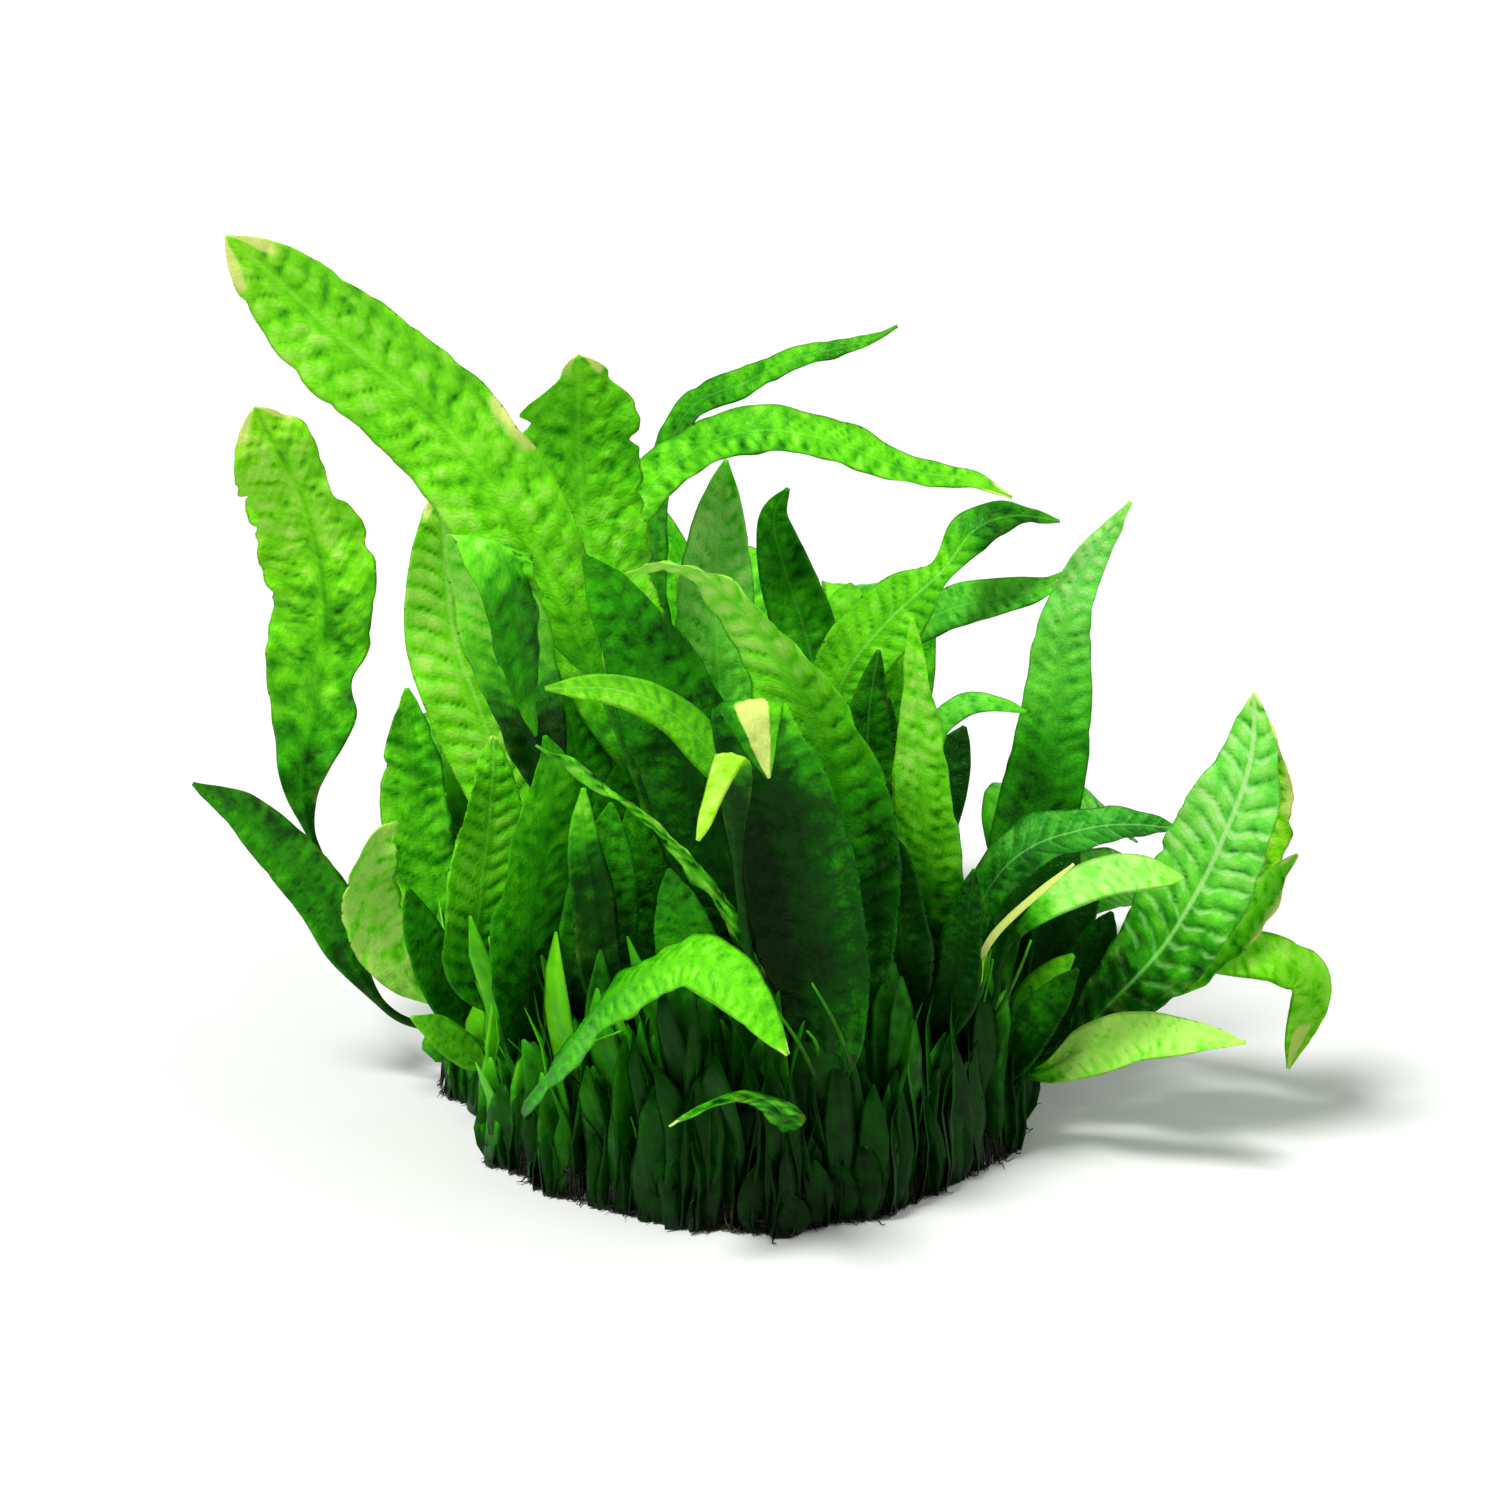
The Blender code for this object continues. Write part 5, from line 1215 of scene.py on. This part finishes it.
def vein_group():
    """Ribs where the pattern's second place is whole, the midrib where its first is nought, and a net."""
    tree, given, out = group("leaf veins", (("Pattern", "NodeSocketVector"),), ("Ribs", "Midrib", "Net"))
    parts = node(tree, "ShaderNodeSeparateXYZ", ((0, given["Pattern"]),)).outputs
    breaks = node(tree, "ShaderNodeTexNoise", (("Vector", given["Pattern"]), ("Scale", 1.3), ("Detail", 2.0)))
    shaken = maths(tree, "ADD", parts["Y"], maths(tree, "MULTIPLY", breaks.outputs["Fac"], 0.35))
    nearest = maths(tree, "PINGPONG", shaken, 0.5)
    side = maths(tree, "ABSOLUTE", parts["X"])
    cells = node(tree, "ShaderNodeTexVoronoi", (("Vector", given["Pattern"]), ("Scale", 3.4)),
                 feature="DISTANCE_TO_EDGE").outputs["Distance"]
    strong = span(tree, breaks.outputs["Fac"], 0.25, 0.6)
    tree.links.new(maths(tree, "MULTIPLY", span(tree, nearest, 0.0, 0.26, 1.0, 0.0), strong), out["Ribs"])
    tree.links.new(span(tree, side, 0.03, 0.15, 1.0, 0.0), out["Midrib"])
    tree.links.new(span(tree, cells, 0.0, 0.16, 1.0, 0.0), out["Net"])
    return tree


def mottle_group():
    """Coarse and fine cloudiness of the object's own space, at a scale in marks for each metre."""
    tree, given, out = group("mottling", (("Scale", "NodeSocketFloat"),), ("Coarse", "Fine"))
    space = node(tree, "ShaderNodeTexCoord").outputs["Object"]
    coarse = node(tree, "ShaderNodeTexNoise", (("Vector", space), ("Scale", given["Scale"]), ("Detail", 3.0)))
    finer = maths(tree, "MULTIPLY", given["Scale"], 5.0)
    fine = node(tree, "ShaderNodeTexNoise", (("Vector", space), ("Scale", finer), ("Detail", 4.0)))
    tree.links.new(coarse.outputs["Fac"], out["Coarse"])
    tree.links.new(fine.outputs["Fac"], out["Fine"])
    return tree


def shared(tree, name, maker):
    """A node that holds the group of that name, which is made the first time that it is asked for."""
    return node(tree, "ShaderNodeGroup", node_tree=bpy.data.node_groups.get(name) or maker())


def mottling(tree, scale):
    """The mottling's two outputs, coarse and fine."""
    marks = shared(tree, "mottling", mottle_group)
    marks.inputs["Scale"].default_value = scale
    return marks.outputs["Coarse"], marks.outputs["Fine"]


def new_material(name, roughness, specular, subsurface=0.0):
    made = bpy.data.materials.new(name)
    made.use_nodes = True
    shader = made.node_tree.nodes["Principled BSDF"]
    shader.inputs["Roughness"].default_value = roughness
    shader.inputs["Specular IOR Level"].default_value = specular
    shader.inputs["Subsurface Weight"].default_value = subsurface
    return made, made.node_tree, shader


def ramp(tree, factor, stops):
    """A colour ramp through (place, colour) stops."""
    made = node(tree, "ShaderNodeValToRGB", ((0, factor),))
    points = made.color_ramp.elements
    while len(points) < len(stops):
        points.new(0.5)
    for point, (place, colour) in zip(points, stops):
        point.position = place
        point.color = (*colour, 1)
    return made.outputs["Color"]


def value_of(tree, name):
    """A corner value that the skins carry."""
    return node(tree, "ShaderNodeAttribute", attribute_name=name).outputs["Fac"]


def feed_shader(tree, shader, colour, rough, height, strength, distance):
    """Feeds the shader its colour, its roughness, and the normals of a bump."""
    bump = node(tree, "ShaderNodeBump", (("Height", height), ("Strength", strength), ("Distance", distance)))
    for place, value in (("Base Color", colour), ("Roughness", rough), ("Normal", bump.outputs["Normal"])):
        tree.links.new(value, shader.inputs[place])


def leaf_material(looks):
    """Wet leaf: a green from dark to bright by its painted light and shade, yellowed or cooled by its warmth,
    with the veins' ribs and net, worn spots, and pale tips."""
    made, tree, shader = new_material("fern_leaf", 0.4, 0.16, looks.glow)
    shader.inputs["Specular Tint"].default_value = LEAF_SHEEN
    shader.inputs["Subsurface Radius"].default_value = LEAF_DEPTHS
    shader.inputs["Subsurface Scale"].default_value = LEAF_DEPTH
    warmth = value_of(tree, "warmth")
    veining = value_of(tree, "veining")
    pattern = node(tree, "ShaderNodeUVMap", uv_map="pattern").outputs["UV"]
    veins = shared(tree, "leaf veins", vein_group)
    tree.links.new(pattern, veins.inputs["Pattern"])
    coarse, fine = mottling(tree, LEAF_MARKS)
    ribs = maths(tree, "MULTIPLY", veins.outputs["Ribs"], veining)
    midrib = maths(tree, "MULTIPLY", veins.outputs["Midrib"], maths(tree, "ADD", veining, LEAST_MIDRIB))
    light = value_of(tree, "light")
    for more in (swing(tree, coarse, COARSE_LIGHT), swing(tree, fine, FINE_LIGHT),
                 maths(tree, "MULTIPLY", ribs, RIB_LIGHT), maths(tree, "MULTIPLY", midrib, MIDRIB_LIGHT)):
        light = maths(tree, "ADD", light, more)
    light = maths(tree, "SUBTRACT", light, maths(tree, "MULTIPLY", veins.outputs["Net"], NET_LIGHT))
    light = maths(tree, "MULTIPLY", light, 1 / LIGHT_SPAN)
    greens = [(place / LIGHT_SPAN, tuple(colour))
              for place, colour in zip(MIDDLE_LIGHTS, (looks.dark, looks.middle, looks.bright))]
    green = ramp(tree, light, ((0.0, DARKEST), *greens, (1.0, PALEST)))
    colour = blended(tree, span(tree, warmth, 0.0, 1.0), green, ramp(tree, light, YELLOWS))
    colour = blended(tree, span(tree, warmth, 0.0, -1.0), colour, ramp(tree, light, COOL_GREENS))
    any_rib = span(tree, maths(tree, "MAXIMUM", ribs, midrib), 0.1, 1.1)
    colour = blended(tree, maths(tree, "MULTIPLY", any_rib, RIB_PALENESS), colour, RIB_COLOUR)
    spots = maths(tree, "MULTIPLY", span(tree, fine, 0.5, 0.66), value_of(tree, "wear"))
    colour = blended(tree, spots, colour, ramp(tree, coarse, WORN_COLOURS))
    pale = span(tree, maths(tree, "ADD", value_of(tree, "pale"), swing(tree, fine, 0.9)), 0.3, 0.8)
    colour = blended(tree, pale, colour, TIP_COLOUR)
    relief = maths(tree, "ADD", maths(tree, "MULTIPLY", veins.outputs["Net"], -0.5), fine)
    rough = span(tree, fine, 0.3, 0.7, 0.3, 0.46)
    feed_shader(tree, shader, colour, rough, relief, LEAF_RELIEF, 0.3 * MM)
    return made


def fibre_material(name):
    """Dull fibre: a ramp of the skin's light with cloudiness of the object's own space added."""
    stops, roughness, scale, relief = FIBRES[name]
    made, tree, shader = new_material(name, roughness, 0.25)
    coarse, fine = mottling(tree, scale)
    colour = ramp(tree, maths(tree, "ADD", value_of(tree, "light"), swing(tree, coarse, 0.8)), stops)
    rough = span(tree, fine, 0.3, 0.7, roughness - 0.12, roughness + 0.08)
    feed_shader(tree, shader, colour, rough, fine, FIBRE_RELIEF, relief)
    return made


# Settings that a user would change

def colour_prop(name, text, value):
    return bpy.props.FloatVectorProperty(name=name, description=text, default=value, min=0, max=1,
                                         subtype="COLOR")


def share_prop(name, text, value, most):
    return bpy.props.FloatProperty(name=name, description=text, default=value, min=0, max=most,
                                   subtype="FACTOR")


def count_prop(name, text, value):
    return bpy.props.IntProperty(name=name, description=text, default=value, min=1, subtype="UNSIGNED")


def strength_prop(name, text, value):
    return bpy.props.FloatProperty(name=name, description=text, default=value, min=0)


class FernLeafSettings(bpy.types.PropertyGroup):
    """Relief and colours of the leaves."""

    pucker: share_prop("Pucker", "Bulge height as a share of the blade's width", 0.055, 0.15)
    ruffle: share_prop("Ruffle", "Margin waves as a share of the blade's width", 0.045, 0.2)
    glow: share_prop("Glow", "How much light spreads inside the leaf", 0.15, 1)
    # The three greens are painted light and shade: dark for the clump's deep shade, middle for its shade,
    # bright for full light
    dark: colour_prop("Dark", "Leaf colour low in the clump", (0.003, 0.06, 0.001))
    middle: colour_prop("Middle", "Leaf colour in the clump", (0.03, 0.35, 0.003))
    bright: colour_prop("Bright", "Leaf colour in full light", (0.16, 0.77, 0.01))


class FernFootSettings(bpy.types.PropertyGroup):
    """Roots, stems and mat fibres."""

    root_count: count_prop("Roots", "Creeping roots", 2300)
    edge_count: count_prop("Hanging roots", "Roots over the edge", 2600)
    hair_count: count_prop("Hairs", "Thin standing root hairs", 900)
    stem_count: count_prop("Stems", "Thin stems among the stalks", 420)
    rim_count: count_prop("Edge stems", "Thin stems round the edge", 260)
    strap_count: count_prop("Straps", "Broad young straps low down", 300)
    inner_count: count_prop("Inner straps", "Taller straps deep in the clump", 80)
    fibre_count: count_prop("Fibres", "Coconut fibres in the mat", 3000)
    root_cell: bpy.props.FloatProperty(name="Root cell", description="Cell size of the root felt",
                                       default=1.0 * MM, min=0.3 * MM, unit="LENGTH")


class FernStageSettings(bpy.types.PropertyGroup):
    """Floor, lights and camera."""

    floor: colour_prop("Floor", "Colour of the plain floor", (0.88, 0.88, 0.87))
    key: strength_prop("Key light", "Strength of the main light", 2.9)
    fill: strength_prop("Fill light", "Strength of the right-hand light", 0.7)
    sky: strength_prop("Sky", "Strength of the even light all round", 0.34)


def leaf_coat(context):
    return bpy.data.materials.get("fern_leaf") or leaf_material(context.scene.fern_leaf)


class FERN_OT_leaves(bpy.types.Operator):
    """Build every grown leaf, one piece in place of each leaf's solid"""

    bl_idname = "fern.leaves"
    bl_label = "Leaves"

    def execute(self, context):
        looks = context.scene.fern_leaf
        for leaf in all_leaves()[0]:
            skin = leaf_skin(leaf, looks.pucker, looks.ruffle)
            skin.piece(f"frond_{leaf.name}", leaf_coat(context), slot="leaf", replaces=(f"leaf_{leaf.name}",))
        return {"FINISHED"}


class FERN_OT_rhizomes(bpy.types.Operator):
    """Build each rhizome with the young leaves that are grown together with it"""

    bl_idname = "fern.rhizomes"
    bl_label = "Rhizomes"

    def execute(self, context):
        looks = context.scene.fern_leaf
        bark = fibre_material("fern_rhizome")
        for name, grown in all_leaves()[1].items():
            skins = [leaf_skin(leaf, looks.pucker, looks.ruffle, finish=1) for leaf in grown]
            rhizome_skin(name).joined(*skins).piece(f"creeping_rhizome_{name}", bark, leaf_coat(context),
                                                    slot="rhizome", replaces=(f"rhizome_{name}",))
        return {"FINISHED"}


class FERN_OT_roots(bpy.types.Operator):
    """Build the root felt, the creeping and hanging roots, the root hairs, the thin stems and straps"""

    bl_idname = "fern.roots"
    bl_label = "Roots"

    def execute(self, context):
        sizes = context.scene.fern_foot
        dull, dark = fibre_material("root_felt"), fibre_material("fern_root")
        felt = felt_skin("roots", sizes.root_cell, 0.9 * MM, 11)
        creeping = creeping_roots(sizes.root_count, 21, None, (10, 34), (0.18, 0.45))
        hanging = creeping_roots(sizes.edge_count, 25, 5 * MM, (5, 16), (0.15, 0.4))
        hairs = rhizome_stems(sizes.hair_count, 31, (4, 11), (0.07, 0.16), 3, 0.9)
        hairs = hairs.joined(edge_stems(sizes.hair_count, 33, (3, 8), (0.07, 0.16), 3, 0.9))
        for name, coat, skin in (("root_felt", dull, felt), ("creeping_roots", dark, creeping),
                                 ("hanging_roots", dark, hanging), ("root_hairs", dark, hairs)):
            skin.piece(name, coat, slot="roots", replaces=("roots",))
        stems = rhizome_stems(sizes.stem_count, 41, (18, 44), (0.3, 0.7), 4, 0.42)
        stems = stems.joined(edge_stems(sizes.rim_count, 43, (8, 26), (0.25, 0.6), 4, 0.27),
                             single_stems(PALE_STEMS, 0.6 * MM, 0.6, 5))
        stems.piece("thin_stems", leaf_coat(context), slot="leaf")
        straps = rhizome_stems(sizes.strap_count, 45, (30, 66), (3.0, 5.8), 8, 0.36, flat=0.1)
        straps = straps.joined(edge_stems(sizes.strap_count, 47, (14, 58), (2.8, 6.2), 8, 0.32, flat=0.1),
                               skirt_straps(sizes.strap_count, 49, (9, 46), (1.6, 4.2), 0.26),
                               inner_straps(sizes.inner_count, 53),
                               single_stems(GAP_STRAPS, 5 * MM, 0.5, 8, flat=0.1))
        straps.piece("young_straps", leaf_coat(context), slot="leaf")
        return {"FINISHED"}


class FERN_OT_mat(bpy.types.Operator):
    """Build the mat's pressed core and its coconut fibres"""

    bl_idname = "fern.mat"
    bl_label = "Mat"

    def execute(self, context):
        coir = fibre_material("coconut_fibre")
        fibres = mat_fibres(context.scene.fern_foot.fibre_count, 51)
        for name, skin in (("mat_core", mat_core()), ("mat_fibres", fibres)):
            skin.piece(name, coir, slot="mat", replaces=("mat",))
        return {"FINISHED"}


FLOOR_HALF_SIDE = 4.0
SKY_COLOUR = (0.98, 1.0, 1.0, 1)
SENSOR_WIDTH = 36.0
KEY_WAY, KEY_SOFTNESS = RIGHT * 0.45 - UP * 1.15 + BACK * 0.45, math.radians(16)
FILL_WAY, FILL_SOFTNESS = RIGHT * -1.0 - UP * 0.9 + BACK * 0.3, math.radians(40)


def sun(name, way, strength, softness):
    """A soft, even light that shines along the way from everywhere at once."""
    lamp = bpy.data.lights.new(name, "SUN")
    lamp.energy = strength
    lamp.angle = softness
    placed(name, lamp).rotation_euler = mathutils.Vector(way).to_track_quat("-Z", "Y").to_euler()


class FERN_OT_stage(bpy.types.Operator):
    """Lay the plain floor, hang the soft lights and set up the camera"""

    bl_idname = "fern.stage"
    bl_label = "Stage"

    def execute(self, context):
        looks = context.scene.fern_stage
        scene = context.scene
        floor_mesh = bpy.data.meshes.new("floor")
        side = FLOOR_HALF_SIDE
        floor_mesh.from_pydata([(-side, -side, 0), (side, -side, 0), (side, side, 0), (-side, side, 0)], [],
                               [(0, 1, 2, 3)])
        floor = placed("floor", floor_mesh)
        paper, _, shader = new_material("pale_floor", 0.9, 0.2)
        shader.inputs["Base Color"].default_value = (*looks.floor, 1)
        floor_mesh.materials.append(paper)

        world = bpy.data.worlds.new("soft_sky")
        world.use_nodes = True
        sky = world.node_tree.nodes["Background"]
        sky.inputs["Color"].default_value = SKY_COLOUR
        sky.inputs["Strength"].default_value = looks.sky
        scene.world = world
        sun("key_light", KEY_WAY, looks.key, KEY_SOFTNESS)
        sun("fill_light", FILL_WAY, looks.fill, FILL_SOFTNESS)

        lens = bpy.data.cameras.new("camera")
        lens.sensor_width = SENSOR_WIDTH
        lens.lens = lens.sensor_width * EYE_DISTANCE / PICTURE_WIDTH
        camera = placed("camera", lens)
        target = RIGHT * SIGHT_ACROSS + VIEW_UP * SIGHT_UP
        camera.location = target - INTO_VIEW * EYE_DISTANCE
        camera.rotation_euler = (math.pi / 2 - VIEW_DOWN, 0, VIEW_TURN)
        scene.camera = camera
        scene.view_settings.view_transform = "Standard"
        return {"FINISHED"}


class FERN_PT_panel(bpy.types.Panel):
    """Lists the fern's operators and settings"""

    bl_label = "Java Fern on a Mat"
    bl_idname = "FERN_PT_panel"
    bl_space_type = "VIEW_3D"
    bl_region_type = "UI"
    bl_category = "Fern"

    def draw(self, context):
        for operator in OPERATORS:
            self.layout.operator(operator.bl_idname)
        for settings in (context.scene.fern_leaf, context.scene.fern_foot, context.scene.fern_stage):
            for name in type(settings).__annotations__:
                self.layout.prop(settings, name)


SETTINGS = {"fern_leaf": FernLeafSettings, "fern_foot": FernFootSettings, "fern_stage": FernStageSettings}
OPERATORS = (FERN_OT_stage, FERN_OT_leaves, FERN_OT_rhizomes, FERN_OT_roots, FERN_OT_mat)


def register():
    for made in (*SETTINGS.values(), *OPERATORS, FERN_PT_panel):
        bpy.utils.register_class(made)
    for name, made in SETTINGS.items():
        setattr(bpy.types.Scene, name, bpy.props.PointerProperty(type=made))


def unregister():
    for name in SETTINGS:
        delattr(bpy.types.Scene, name)
    for made in (FERN_PT_panel, *reversed(OPERATORS), *reversed(SETTINGS.values())):
        bpy.utils.unregister_class(made)


def main():
    register()
    bpy.ops.fern.stage()
    bpy.ops.fern.leaves()
    bpy.ops.fern.rhizomes()
    bpy.ops.fern.roots()
    bpy.ops.fern.mat()


if __name__ == "__main__":
    main()
